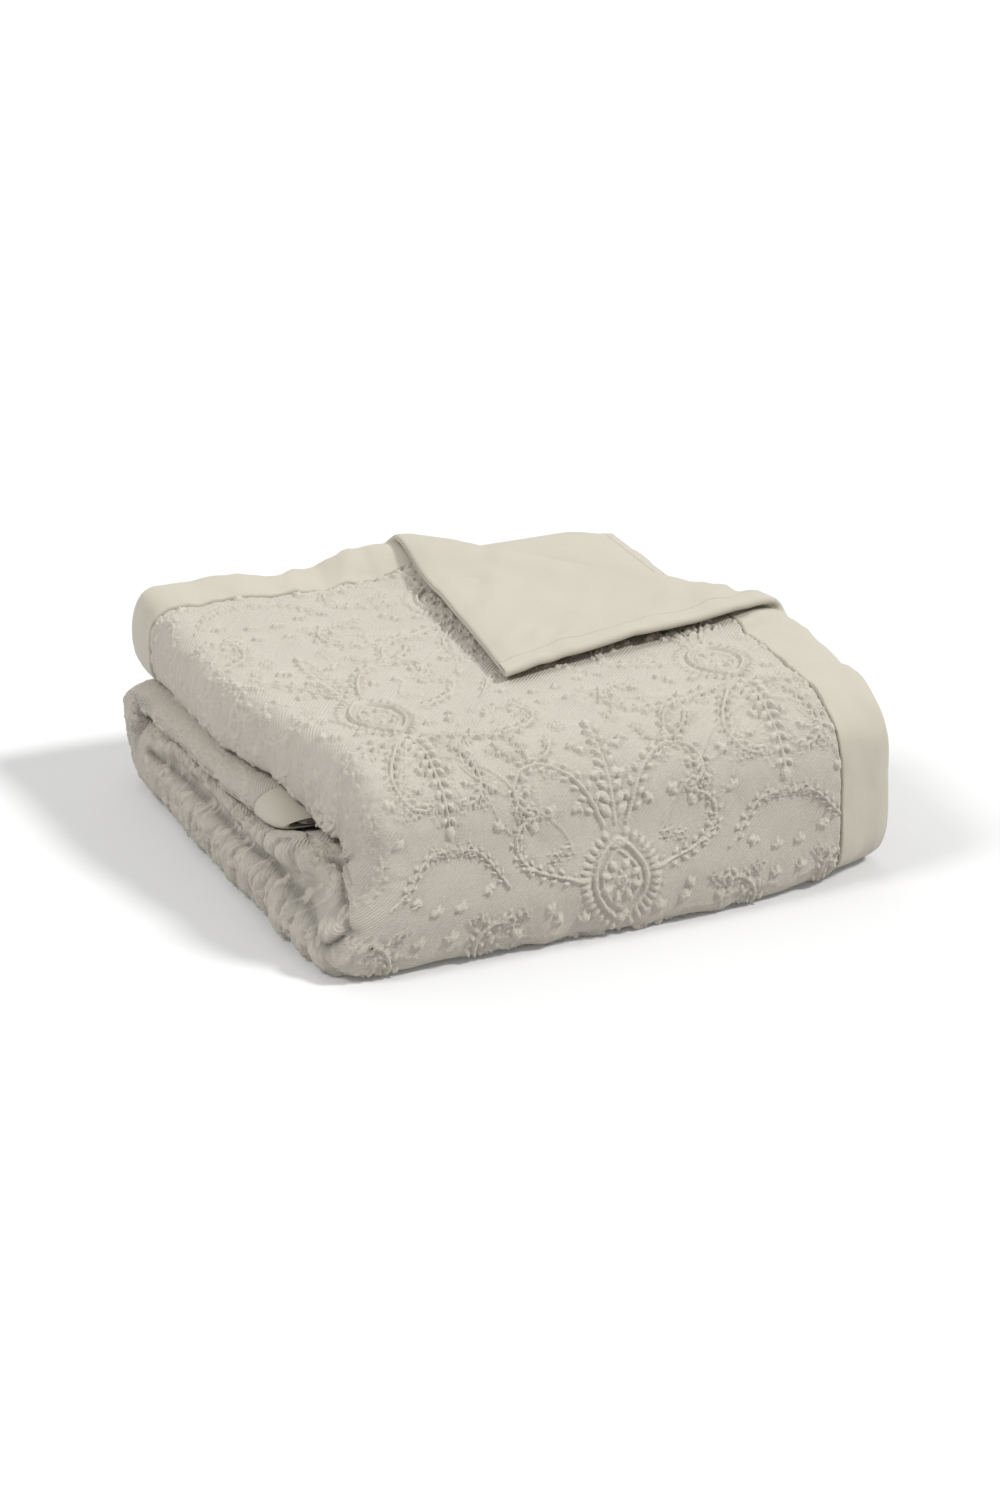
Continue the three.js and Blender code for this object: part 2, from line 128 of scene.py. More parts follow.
slabPath = foldedPath((halfLength, slab - pitch / 2), (-1, 0), [
    ("straight", halfLength - endCentreX, 0),
    ("turn", (slab - pitch) / 2, math.pi),
    ("straight", layerEnd["innerRight"] - endCentreX, 0),
    ("turn", pitch / 2, math.pi),
    ("straight", layerEnd["innerRight"] - layerEnd["innerLeft"], 0),
    ("turn", pitch / 2, -math.pi),
    ("straight", layerEnd["second"] - layerEnd["innerLeft"], 0),
])
frontDrop = stack - slab - frontFold["topRadius"] - frontFold["lowRadius"]
letterPath = foldedPath((halfDepth, stack - slab / 2), (-1, 0), [
    ("straight", halfDepth - frontWallY - frontFold["topRadius"], 0),
    ("turn", frontFold["topRadius"], math.pi / 2),
    ("straight", frontDrop, 0),
    ("turn", frontFold["lowRadius"], math.pi / 2),
    ("straight", backCentreY - frontWallY - frontFold["lowRadius"], 0),
    ("turn", slab / 2, math.pi),
    ("straight", backCentreY - layerEnd["middleSlab"], 0),
])
clothLength, clothWidth = slabPath["total"], letterPath["total"]
topLayerEnd = slabPath["runs"][0]["length"]
endTurnEnd = topLayerEnd + slabPath["runs"][1]["length"]
topSlabEnd = letterPath["runs"][0]["length"]
bottomStart = letterPath["runs"][4]["start"]
bottomEnd = letterPath["runs"][5]["start"]
backTurnEnd = letterPath["runs"][6]["start"]
print(f"folds laid out: the flat cloth is {clothWidth:.0f} by {clothLength:.0f} mm")

# The corner that is turned back, in plan
foldStart = np.array([turned["backX"], halfDepth])
foldLine = np.array([halfLength, turned["endY"]]) - foldStart
foldLength = np.linalg.norm(foldLine)
foldAlong = foldLine / foldLength
foldOut = np.array([-foldAlong[1], foldAlong[0]])
cornerFromFold = np.array([halfLength, halfDepth]) - foldStart
cornerReach, cornerAlong = cornerFromFold @ foldOut, cornerFromFold @ foldAlong
tipFromFold = np.array(turned["tip"]) - foldStart
tipReach = -(tipFromFold @ foldOut)
tipShift = tipFromFold @ foldAlong - cornerAlong


def foldCoordinates(x, y):
    dx, dy = x - foldStart[0], y - foldStart[1]
    return dx * foldAlong[0] + dy * foldAlong[1], dx * foldOut[0] + dy * foldOut[1]


def liftAt(along, out):
    most = lerp(turned["liftAtBack"], turned["liftAtEnd"], np.clip(along / foldLength, 0, 1))
    return most * ramp(out, -turned["liftLength"], -turned["liftedBy"])


def topLayerMiddle(x, y):
    level = stack - pitch / 2
    along, out = foldCoordinates(x, y)
    radius = lerp(turned["rollAtBack"], turned["rollAtEnd"], np.clip(along / foldLength, 0, 1))
    rollLength = math.pi * radius
    inRoll = out < rollLength
    pastRoll = (out - rollLength) * tipReach / (cornerReach - rollLength)
    travel = np.where(inRoll, -radius * np.sin(out / radius), pastRoll)
    rest = cloth["thickness"] + turned["clearance"]
    crown = turned["crown"] * np.sin(math.pi * np.clip(travel / tipReach, 0, 1))
    lying = ramp(travel, tipReach * turned["laidFrom"], tipReach)
    laid = liftAt(along, -travel) + lerp(2 * radius, rest, lying) + crown
    z = level + np.where(inRoll, liftAt(along, 0 * out) + radius * (1 - np.cos(out / radius)), laid)
    shifted = along + tipShift * out / cornerReach
    px = foldStart[0] + foldAlong[0] * shifted - foldOut[0] * travel
    py = foldStart[1] + foldAlong[1] * shifted - foldOut[1] * travel
    flat = out <= 0
    z = np.where(flat, level + liftAt(along, out), z)
    return np.stack([np.where(flat, x, px), np.where(flat, y, py), z], axis=-1)


tiny = 1e-6  # keeps the middle of a fold from dividing by nothing


def swellToCorner(dx, dz, radius, power):
    reach = np.maximum(np.hypot(dx, dz), tiny)
    c, s = np.abs(dx) / reach, np.abs(dz) / reach
    swell = (c ** power + s ** power) ** (-1 / power) - 1
    return 1 + swell * np.minimum(1, (reach / radius) ** 2)


# Where the pack is not evenly folded. A pair of places says where a move starts and where it is full.
endFold = {
    "innerPower": 3.4, "outerPower": 2.2, "creaseDepth": 11, "creaseWidth": 5.5, "creaseHeight": slab * 0.32,
    "creaseStart": (bottomStart - 20, bottomStart + 15), "creaseEnd": (bottomEnd, bottomEnd - 110),
}
lowCorners = {"frontPower": (7, 3), "frontPowerX": (120, 290), "endPower": 3}
press = {
    "share": (0.25, 0.5), "x": (0, -250), "closedFrom": (12, 55), "closedX": (-190, -265), "closedTo": 28,
    "frontY": (frontWallY - 12, frontWallY + slab / 2), "meeting": pack["height"] * 0.51, "gap": 3,
}
gape = {
    "size": 9, "height": 76, "lip": 5, "reach": 18, "x": (-215, -285), "y": (130, 205), "backY": (262, 225),
}
underCorner = {"rise": 17, "out": (12, 75), "less": 0.6, "lessX": (185, 245), "z": (105, 160)}
backCorner = {"rise": 11, "x": (-90, -220), "y": (120, 270), "z": (125, 180)}
spread = {
    "size": 18, "x": (-150, -265), "upperLess": 10, "upperZ": (42, 60), "backY": (110, 220),
    "closedLess": 0.6, "topZ": (80, 118), "frontLess": 0.9, "frontY": (-200, -290),
}
drawnIn = {
    "size": 38, "x": (-60, -265), "y": (60, -215), "z": (20, 85), "bottomReach": 50, "middleShare": 0.6,
}
frontSpread = {"size": 21, "x": (300, 30), "y": (-120, -250), "z": (125, 45)}
openEnd = {
    "back": 14, "backX": (215, 292), "backY": (-120, -240),
    "lower": 2, "lowerX": (235, 292), "lowerZ": (60, 180),
}


def foldedEnd(x, height, v):
    half = slab / 2
    power = np.where(height < half, endFold["innerPower"], endFold["outerPower"])
    grow = swellToCorner(x - endCentreX, height - half, half, power)
    alongBottom = fade(v, endFold["creaseStart"]) * fade(v, endFold["creaseEnd"])
    crease = endFold["creaseDepth"] * bell(height - endFold["creaseHeight"], endFold["creaseWidth"])
    crease = crease * alongBottom * ramp(x, endCentreX, endCentreX - half)
    moved = endCentreX + (x - endCentreX) * grow + crease
    outside = x <= endCentreX
    return np.where(outside, moved, x), np.where(outside, half + (height - half) * grow, height)


def pressSlabs(z, share):
    evenLow, evenHigh = slab - restGap, 2 * slab - restGap
    low = lerp(evenLow, press["meeting"] - press["gap"] / 2, share)
    high = lerp(evenHigh, press["meeting"] + press["gap"] / 2, share)
    middle = low + (z - evenLow) * (high - low) / (evenHigh - evenLow)
    top = pack["height"] - (pack["height"] - z) * (pack["height"] - high) / (pack["height"] - evenHigh)
    return np.where(z < evenLow, z * low / evenLow, np.where(z < evenHigh, middle, top))


def drawnShare(v):
    inBottom = ramp(v, bottomStart + drawnIn["bottomReach"], bottomStart)
    inMiddle = drawnIn["middleShare"] * ramp(v, bottomEnd, bottomEnd + slab)
    return np.where(v < bottomStart, 1, np.where(v < bottomEnd, inBottom, inMiddle))


def squareCorner(across, down, radius, power):
    return np.where((across < 0) | (down < 0), 1, swellToCorner(across, down, radius, power))


def settle(point, v):
    x, y, z = point[..., 0], point[..., 1], point[..., 2] - restGap
    lowRadius = frontFold["lowRadius"] + slab / 2 - restGap
    lowCentreY = frontWallY + frontFold["lowRadius"]
    frontPower = lerp(*lowCorners["frontPower"], fade(x, lowCorners["frontPowerX"]))
    grow = squareCorner(lowCentreY - y, lowRadius - z, lowRadius, frontPower)
    y, z = lowCentreY + (y - lowCentreY) * grow, lowRadius + (z - lowRadius) * grow
    half = slab / 2 - restGap
    grow = squareCorner(endCentreX - x, half - z, half, lowCorners["endPower"])
    x, z = endCentreX + (x - endCentreX) * grow, half + (z - half) * grow

    closedFrom = lerp(*press["closedFrom"], fade(x, press["closedX"]))
    closed = ramp(y, layerEnd["middleSlab"] + closedFrom, layerEnd["middleSlab"] - press["closedTo"])
    pressed = lerp(lerp(*press["share"], fade(x, press["x"])), 1, closed)
    z = pressSlabs(z, pressed * fade(y, press["frontY"]))

    gaping = fade(x, gape["x"]) * fade(y, gape["y"]) * fade(y, gape["backY"])
    fromGap = z - gape["height"]
    z = z + gape["size"] * gaping * np.tanh(fromGap / gape["lip"]) * bell(fromGap, gape["reach"])

    _, out = foldCoordinates(x, y)
    lessAtEnd = 1 - underCorner["less"] * fade(x, underCorner["lessX"])
    z = z + underCorner["rise"] * fade(out, underCorner["out"]) * lessAtEnd * fade(z, underCorner["z"])
    atBack = fade(x, backCorner["x"]) * fade(y, backCorner["y"])
    z = z + backCorner["rise"] * atBack * fade(z, backCorner["z"])

    upperLess = spread["upperLess"] * (1 - fade(y, spread["backY"])) * (1 - spread["closedLess"] * closed)
    middle = spread["size"] - upperLess * fade(z, spread["upperZ"])
    low = middle - (spread["size"] - upperLess) * fade(z, spread["topZ"])
    spreading = low * (1 - spread["frontLess"] * fade(y, spread["frontY"])) * fade(x, spread["x"])
    drawing = drawnIn["size"] * fade(y, drawnIn["y"]) * fade(x, drawnIn["x"]) * fade(z, drawnIn["z"])
    x = x + drawing * drawnShare(v) - spreading

    lowAtOpenEnd = fade(x, frontSpread["x"]) * fade(z, frontSpread["z"])
    y = y - frontSpread["size"] * lowAtOpenEnd * fade(y, frontSpread["y"])
    y = y + openEnd["back"] * fade(x, openEnd["backX"]) * fade(y, openEnd["backY"])
    z = z - openEnd["lower"] * fade(x, openEnd["lowerX"]) * fade(z, openEnd["lowerZ"])
    return np.stack([x, y, z], axis=-1)


noiseCells = 128  # cells each way before the noise repeats


def latticeNoise(u, v, cell, seed):
    table = np.random.default_rng(seed).uniform(-1, 1, (noiseCells, noiseCells))
    a, b = u / cell + 5 * noiseCells, v / cell + 5 * noiseCells  # above zero for all of the cloth
    i, j = np.floor(a).astype(int), np.floor(b).astype(int)
    s, t = a - i, b - j
    s, t = s * s * (3 - 2 * s), t * t * (3 - 2 * t)
    i, j, k, m = i % noiseCells, j % noiseCells, (i + 1) % noiseCells, (j + 1) % noiseCells
    return lerp(lerp(table[i, j], table[k, j], s), lerp(table[i, m], table[k, m], s), t)


# Soft folds, as lines on the flat cloth from u0, v0 to u1, v1. Height and half width are in millimetres,
# and a trough has a negative height.
cornerFolds = readTable(
    "u0 v0 u1 v1 height width",
    (18, 34, 48, 92, 2.8, 8), (22, 112, 70, 132, 2.4, 8), (16, 190, 60, 220, 3.0, 8),
    (14, 240, 44, 270, 3.4, 7), (60, 60, 160, 160, 2.6, 15), (110, 30, 200, 76, -2.2, 13),
    (90, 150, 180, 120, 2.2, 15), (150, 190, 60, 246, -2.6, 13), (210, 60, 250, 120, 2.0, 12),
    (40, 280, 110, 250, 2.6, 9),
    (12, 34, 36, 52, -2.6, 10), (12, 62, 52, 94, -2.8, 11), (14, 160, 44, 188, -2.4, 11),
    (12, 216, 40, 248, -2.4, 11), (12, 268, 40, 284, -2.4, 10), (44, 16, 66, 40, -2.4, 10),
    (70, 200, 130, 160, -2.4, 11), (120, 110, 190, 60, 2.4, 11),
)
borderFolds = readTable(
    "u0 v0 u1 v1 height width",
    (352, 4, 372, 58, 3.2, 7), (384, 8, 396, 60, -2.8, 6), (410, 2, 428, 56, 2.8, 8),
    (336, 10, 344, 60, -2.4, 5), (440, 8, 452, 60, -1.8, 7), (470, 6, 486, 54, 1.8, 9),
    (520, 8, 528, 58, -1.8, 8), (6, 300, 58, 318, 3.0, 7), (8, 324, 60, 332, -2.8, 5),
    (4, 350, 56, 370, 2.2, 8), (6, 430, 58, 424, -1.6, 9), (4, 520, 58, 512, 1.8, 9),
    (8, 600, 56, 610, -1.8, 8),
)
# Where the cloth is loose: on the turned corner and along two borders, with broad and small waves.
# The turned corner rests on the layer below, so its dips are shallower than its ridges.
loose = {
    "farU": 620, "farV": 700, "cornerU": 330, "borderV": 100, "fromEdge": (110, 60),
    "broad": 1.5, "broadCell": 42, "small": 0.8, "smallCell": 17, "seed": 21,
    "dips": 0.35, "dipsOut": (0, 60),
}


def sharp(apart, width):
    return np.exp(-apart / width)


def folds(u, v, rows, profile=bell):
    troughs, ridges = np.zeros(u.shape), np.zeros(u.shape)
    for row in rows:
        alongU, alongV = row["u1"] - row["u0"], row["v1"] - row["v0"]
        share = ((u - row["u0"]) * alongU + (v - row["v0"]) * alongV) / (alongU ** 2 + alongV ** 2)
        share = np.clip(share, 0, 1)
        apart = np.hypot(u - row["u0"] - share * alongU, v - row["v0"] - share * alongV)
        fold = row["height"] * profile(apart, row["width"])
        troughs, ridges = np.minimum(troughs, fold), np.maximum(ridges, fold)
    return troughs + ridges


def unevenness(u, v):
    moved = np.zeros(u.shape)
    near = (v < loose["farV"]) & (u < loose["farU"])
    near &= (u < loose["cornerU"]) | (v < loose["borderV"])
    un, vn = u[near], v[near]
    wave = loose["broad"] * latticeNoise(un, vn, loose["broadCell"], loose["seed"])
    wave += loose["small"] * latticeNoise(un, vn, loose["smallCell"], loose["seed"] + 1)
    wave *= fade(np.minimum(un, vn), loose["fromEdge"])
    moved[near] = folds(un, vn, cornerFolds) + folds(un, vn, borderFolds) + wave
    _, out = foldCoordinates(halfLength - u, halfDepth - v)
    return moved * np.where(moved > 0, lerp(1, loose["dips"], fade(out, loose["dipsOut"])), 1)


# Points of the folded cloth in metres, from their places u, v on the flat cloth and heights n in it
def clothPoint(u, v, n):
    u, v, n = (np.asarray(a, float) for a in np.broadcast_arrays(u, v, n))
    fromEdge = np.minimum(np.minimum(u, v), np.minimum(clothLength - u, clothWidth - v))
    offset = (n - halfCloth) * lerp(cloth["edgeShare"], 1, ramp(fromEdge, 0, cloth["edgeTaper"]))
    offset = offset + unevenness(u, v)
    along, height = onPath(slabPath, u, offset)
    x, slabHeight = foldedEnd(along, height, v)
    y, z = onPath(letterPath, v, slabHeight - slab / 2)
    onTop = (u < topLayerEnd) & (v < topSlabEnd)
    z = z + np.where(onTop, liftAt(*foldCoordinates(x, y)), 0)
    point = np.stack([x, y, z], axis=-1)
    flatX, flatY = halfLength - u, halfDepth - v
    corner = onTop & (foldCoordinates(flatX, flatY)[1] > 0)
    cx, cy = flatX[corner], flatY[corner]
    step = 0.05  # short enough for the cloth's slope at a point
    acrossX = topLayerMiddle(cx + step, cy) - topLayerMiddle(cx - step, cy)
    acrossY = topLayerMiddle(cx, cy + step) - topLayerMiddle(cx, cy - step)
    normal = np.cross(acrossX, acrossY)
    normal /= np.linalg.norm(normal, axis=-1, keepdims=True)
    point[corner] = topLayerMiddle(cx, cy) + normal * offset[corner][:, None]
    placed = settle(point, v)
    placed[..., 0] -= pack["centre"][0]
    placed[..., 1] -= pack["centre"][1]
    placed[..., 2] = np.maximum(placed[..., 2], pack["underside"])  # the underside is pressed flat
    return placed / 1000


def spacedLines(start, sections):
    lines = [start]
    for end, step in sections:
        count = max(1, round((end - lines[-1]) / step))
        lines.extend(np.linspace(lines[-1], end, count + 1)[1:])
    return np.array(lines)


def meshPiece(name, points, faces, uv, material):
    mesh = bpy.data.meshes.new(name)
    mesh.from_pydata(points.tolist(), [], faces)
    layer = mesh.uv_layers.new(name="cloth")
    loops = np.empty(len(mesh.loops), int)
    mesh.loops.foreach_get("vertex_index", loops)
    layer.data.foreach_set("uv", (uv[loops] / 1000).ravel())
    mesh.shade_smooth()
    mesh.materials.append(material)
    piece = bpy.data.objects.new(name, mesh)
    bpy.context.collection.objects.link(piece)
    return piece


def gridFaces(rows, columns, keep=None):
    index = np.arange(rows * columns).reshape(rows, columns)
    quads = np.stack([index[:-1, :-1], index[1:, :-1], index[1:, 1:], index[:-1, 1:]], axis=-1)
    return (quads.reshape(-1, 4) if keep is None else quads[keep]).tolist()


# The jacquard's repeat in millimetres. x runs across it, y along it, from the middle of the medallion.
repeat = {"width": 288, "height": 400, "step": 0.75}

# Scrolling stems: start, heading, length, how sharply they bend at each end (degrees a millimetre),
# cord width, leaf length and leaf spacing, and the radius of the flower at the end
stems = readTable(
    "x y heading length bendStart bendEnd width leaf spacing bloom",
    (8, 43, 62, 132, 0.5, -4.1, 3.4, 9.5, 11.0, 6.0),
    (12, -44, -8, 158, -0.9, 3.6, 3.4, 9.5, 11.5, 6.5),
    (31, 4, 28, 92, -1.2, 4.6, 2.8, 7.5, 9.5, 4.8),
    (16, -52, -66, 92, 1.0, -3.9, 2.8, 7.5, 9.5, 5.0),
    (64, -74, -80, 66, 1.4, 3.6, 2.4, 6.5, 9.0, 4.2),
    (58, 100, 96, 70, -1.0, -3.0, 2.4, 6.5, 9.0, 4.2),
    (92, 8, 40, 62, 1.6, -3.6, 2.4, 6.0, 9.0, 4.2),
)
# A stem is a cord of short pads that rise and fall with its twist, with leaves that grow smaller along it.
stemShape = {
    "pad": 3.0, "height": 0.78, "twist": 0.22, "twistLength": 3, "bareTip": 4, "taper": 0.35, "root": 0.6,
    "leafTurn": 42,
}
# Straight sprays above and below the medallion, with leaves in pairs
sprays = readTable(
    "y heading length pairs leafStart leafEnd",
    (44, 90, 78, 8, 15.0, 8.0),
    (-44, -90, 92, 9, 17.0, 8.0),
)
sprayShape = {
    "pad": 3.0, "height": 0.7, "bareStart": 4, "bare": 10, "root": 1.2, "leafTurn": 48, "leafHeight": 1.15,
    "tipBack": 2, "tipLeaf": (15, 1.2),
}
# Beaded trails that wander between the medallions
trails = readTable(
    "x y heading length bendStart bendEnd bead",
    (20, 190, -58, 230, 0.75, -0.8, 1.6),
    (36, 30, 78, 118, -1.5, 1.3, 1.3),
    (52, -34, -14, 84, 1.4, -1.8, 1.3),
    (26, -84, -52, 76, -1.4, 1.9, 1.3),
)
trailShape = {"every": 2, "length": 2.2, "width": 1.6, "height": 0.5}
# Small round flowers between the stems
flowers = readTable(
    "x y radius",
    (52, 26, 4.4), (22, 130, 4.6), (78, 62, 4.4), (122, -64, 5.0), (84, -44, 4.2), (96, -112, 4.4),
    (40, 158, 4.8), (84, 118, 4.4), (128, 44, 4.4), (34, -124, 4.4), (64, -172, 4.2), (16, -158, 4.2),
    (112, 88, 4.2), (116, -12, 4.4), (66, 186, 4.4), (104, -170, 4.6), (128, 136, 4.4),
)
# A flower's rings of petals: how many, where the first one stands, and sizes as shares of the radius
petalRings = readTable(
    "count first out turn length width height",
    (14, 0, 0.62, 90, 0.62, 0.42, 0.75), (6, 0.5, 1.25, 0, 0.62, 0.5, 0.6), (1, 0, 0, 0, 0.5, 0.5, 0.6),
)
# Sprigs of three leaves between the stems
sprigs = readTable(
    "x y heading leaf",
    (46, 58, 40, 8.0), (98, 52, 100, 7.5), (48, -20, -30, 8.0), (100, -30, 10, 7.0), (46, -112, -50, 8.0),
    (134, -2, 90, 7.5), (40, 92, 60, 7.0), (84, -92, -20, 8.0), (58, 170, 30, 8.0), (84, 150, -30, 7.0),
    (130, -92, -100, 7.5), (82, -150, 160, 7.0), (128, 108, 20, 7.0), (20, 106, 80, 6.5),
    (112, 172, 90, 8.0), (12, 176, 100, 7.5), (44, -146, 60, 7.5), (30, -186, -70, 8.0), (66, -124, 10, 7.0),
    (112, -138, -40, 7.5), (64, 78, 0, 6.5), (72, 22, -70, 7.0), (24, -104, -120, 6.5), (132, -122, 60, 7.0),
    (90, 186, 150, 7.0),
)
sprigShape = {"leafTurn": 42, "middleLeaf": 1.2}
# A leaf's width is a share of its length, and only a long leaf has a vein.
leafShape = {"width": 0.46, "vein": 0.25, "veinWidth": 0.7, "veinFrom": 10}
# Tiny knots that fill the ground beside the stems. Each try has a chance of one half.
knots = {
    "tries": 2080, "chance": 0.5, "seed": 11, "size": (1.5, 2.4), "stretch": 1.3, "height": 0.42,
    "near": 7.0, "busyFrom": 0.1, "clearBelow": 0.05,
}
# A ring of beads, an inner ring, leaves like rays outside and petals inside. Leaves are length and height.
medallion = {
    "halfWidth": 21, "halfHeight": 33, "beads": 97, "bead": 1.6, "beadLong": 2, "beadWide": 1.8,
    "beadHeights": (0.7, 1.0), "innerLess": 6, "innerShare": 0.84, "innerBead": (2.4, 2.0, 0.6),
    "rays": 15, "rayOut": 3, "rayTurn": 75, "rayLeaf": (10.5, 0.95),
    "ring": 7.5, "petals": 8, "petal": (11, 1.1), "flower": 5.4,
    "endAt": 24, "endTurn": 38, "endLeaf": (11, 0.9),
}


def blurred(field, reach):
    turns = [np.fft.fftfreq(size, repeat["step"]) for size in field.shape]
    spread = np.exp(-2 * (math.pi * reach) ** 2 * (turns[0][:, None] ** 2 + turns[1][None, :] ** 2))
    return np.fft.ifft2(np.fft.fft2(field) * spread).real


def motifField():
    step = repeat["step"]
    columns, rows = round(repeat["width"] / step), round(repeat["height"] / step)
    field = np.zeros((columns, rows))

    def pad(x, y, heading, length, width, height, vein=0.0):
        along, across = length / 2, width / 2
        reach = max(along, across) + step
        i = np.arange(math.floor((x - reach) / step), math.ceil((x + reach) / step) + 1)
        j = np.arange(math.floor((y - reach) / step), math.ceil((y + reach) / step) + 1)
        dx, dy = i[:, None] * step - x, j[None, :] * step - y
        cos, sin = math.cos(math.radians(heading)), math.sin(math.radians(heading))
        a, b = (dx * cos + dy * sin) / along, (dy * cos - dx * sin) / across
        narrow = np.clip(1 - a ** 2, 0, 1)
        raised = height * np.sqrt(np.clip(narrow ** (2 if length > width else 1) - b ** 2, 0, 1))
        raised -= vein * np.exp(-((b * across / leafShape["veinWidth"]) ** 2)) * narrow * (raised > 0)
        place = np.ix_(i % columns, j % rows)
        field[place] = np.maximum(field[place], raised)

    def leaf(x, y, heading, length, height=1.0):
        turn = math.radians(heading)
        width = length * leafShape["width"]
        vein = leafShape["vein"] if length > leafShape["veinFrom"] else 0
        middle = x + math.cos(turn) * length / 2, y + math.sin(turn) * length / 2
        pad(*middle, heading, length, width, height, vein)

    def flower(x, y, radius):
        for ring in petalRings:
            out = radius * ring["out"]
            for k in range(ring["count"]):
                turn = 2 * math.pi * (k + ring["first"]) / ring["count"]
                pad(x + out * math.cos(turn), y + out * math.sin(turn), math.degrees(turn) + ring["turn"],
                    radius * ring["length"], radius * ring["width"], ring["height"])

    def curve(row):
        distance = np.arange(0, row["length"], 1.0)  # a point each millimetre
        share = distance / row["length"]
        turn = row["heading"] + np.cumsum(row["bendStart"] + (row["bendEnd"] - row["bendStart"]) * share)
        x = row["x"] + np.cumsum(np.cos(np.radians(turn)))
        y = row["y"] + np.cumsum(np.sin(np.radians(turn)))
        return x, y, turn

    for row in stems:
        x, y, turn = curve(row)
        for k in range(len(x)):
            twist = stemShape["twist"] * math.cos(k * 2 * math.pi / stemShape["twistLength"])
            pad(x[k], y[k], turn[k], stemShape["pad"], row["width"], stemShape["height"] + twist)
        spots = np.arange(row["spacing"], row["length"] - stemShape["bareTip"], row["spacing"] / 2)
        for count, spot in enumerate(spots):
            k, side = int(spot), 1 if count % 2 else -1
            size = row["leaf"] * (1 - stemShape["taper"] * spot / row["length"])
            root = math.radians(turn[k] + side * 90)
            rootX = x[k] + math.cos(root) * row["width"] * stemShape["root"]
            rootY = y[k] + math.sin(root) * row["width"] * stemShape["root"]
            leaf(rootX, rootY, turn[k] + side * stemShape["leafTurn"], size)
        flower(x[-1], y[-1], row["bloom"])
    for row in sprays:
        way = 1 if row["heading"] > 0 else -1
        for k in range(int(row["length"])):
            pad(0, row["y"] + way * k, 90, sprayShape["pad"], sprayShape["pad"], sprayShape["height"])
        for k in range(row["pairs"]):
            share = k / (row["pairs"] - 1)
            size = lerp(row["leafStart"], row["leafEnd"], share)
            spot = row["y"] + way * (sprayShape["bareStart"] + (row["length"] - sprayShape["bare"]) * share)
            leaf(sprayShape["root"], spot, way * sprayShape["leafTurn"], size, sprayShape["leafHeight"])
        leaf(0, row["y"] + way * (row["length"] - sprayShape["tipBack"]), way * 90, *sprayShape["tipLeaf"])
    for row in trails:
        x, y, turn = curve(row)
        size = row["bead"] * trailShape["length"], row["bead"] * trailShape["width"]
        for k in range(0, len(x), trailShape["every"]):
            pad(x[k], y[k], turn[k], *size, trailShape["height"])
    for row in flowers:
        flower(row["x"], row["y"], row["radius"])
    for row in sprigs:
        for side in (-1, 0, 1):
            size = row["leaf"] * (1 if side else sprigShape["middleLeaf"])
            leaf(row["x"], row["y"], row["heading"] + side * sprigShape["leafTurn"], size)

    wide, high = medallion["halfWidth"], medallion["halfHeight"]
    y = np.linspace(-high, high, medallion["beads"])
    x = wide * (1 - (y / high) ** 2)
    bead = medallion["bead"] * medallion["beadLong"], medallion["bead"] * medallion["beadWide"]
    for k in range(len(x)):
        pad(x[k], y[k], 90, *bead, medallion["beadHeights"][k % 2])
        inner = max(0, x[k] - medallion["innerLess"]), y[k] * medallion["innerShare"]
        pad(*inner, 90, *medallion["innerBead"])
    for k in range(medallion["rays"]):
        share = (k + 0.5) / medallion["rays"] * 2 - 1
        out = wide * (1 - share ** 2) + medallion["rayOut"]
        leaf(out, high * share, medallion["rayTurn"] * share, *medallion["rayLeaf"])
    for k in range(medallion["petals"]):
        turn = 360 * (k + 0.5) / medallion["petals"]
        angle, out = math.radians(turn), medallion["ring"]
        leaf(out * math.cos(angle), out * math.sin(angle), turn, *medallion["petal"])
    flower(0, 0, medallion["flower"])
    for way in (-1, 1):
        for side in (0, medallion["endTurn"]):
            leaf(0, way * medallion["endAt"], way * (90 - side), *medallion["endLeaf"])

    chance = np.random.default_rng(knots["seed"])
    busy = blurred(field, knots["near"])
    for x, y, share in chance.uniform(0, 1, (knots["tries"], 3)):
        i, j = int(x * columns / 2), int(y * rows)
        onGround = busy[i, j] > knots["busyFrom"] and field[i, j] < knots["clearBelow"]
        if onGround and share < knots["chance"]:
            size = lerp(*knots["size"], share / knots["chance"])
            pad(i * step, j * step, 360 * share, size * knots["stretch"], size, knots["height"])
    # the left half mirrors the right one, and a second medallion stands half a repeat across and along
    field = np.maximum(field, np.roll(field[::-1], 1, axis=0))
    return np.maximum(field, np.roll(field, (columns // 2, rows // 2), axis=(0, 1)))


inset = cloth["border"] + cloth["gap"] / 2  # from the cloth's edge to the jacquard panel

# The raised weave on the face, in millimetres and shares of its height. The hollow share is painted shade:
# how much the colour darkens in the dips round the motifs.
relief = {
    "height": 3.8, "dip": 2.4, "dipReach": 4.0, "sink": 0.3, "lump": 1.1, "lumpSize": 34, "fineLump": 0.5,
    "crumple": 0.6, "crumpleSize": 4.5, "crumplePlain": 0.12, "crumpleCoarse": 0.6, "crumpleSlant": 0.3,
    "busyFrom": 0.1, "busyReach": 6.0, "busyGain": 1.8, "stray": 1.6, "straySize": 26, "phase": (96, 62),
    "scale": 1.25, "endShare": 0.5, "endBefore": 8, "endAfter": 18, "paintedHollowShade": 0.5, "creaseDepth": 7.5,
    "seed": 3,
}
field = motifField()
softField = blurred(field, relief["dipReach"])
inMotif = (field > relief["busyFrom"]).astype(float)
busyField = np.clip(blurred(inMotif, relief["busyReach"]) * relief["busyGain"], 0, 1)
print(f"jacquard repeat drawn: {field.shape[0]} by {field.shape[1]} points")


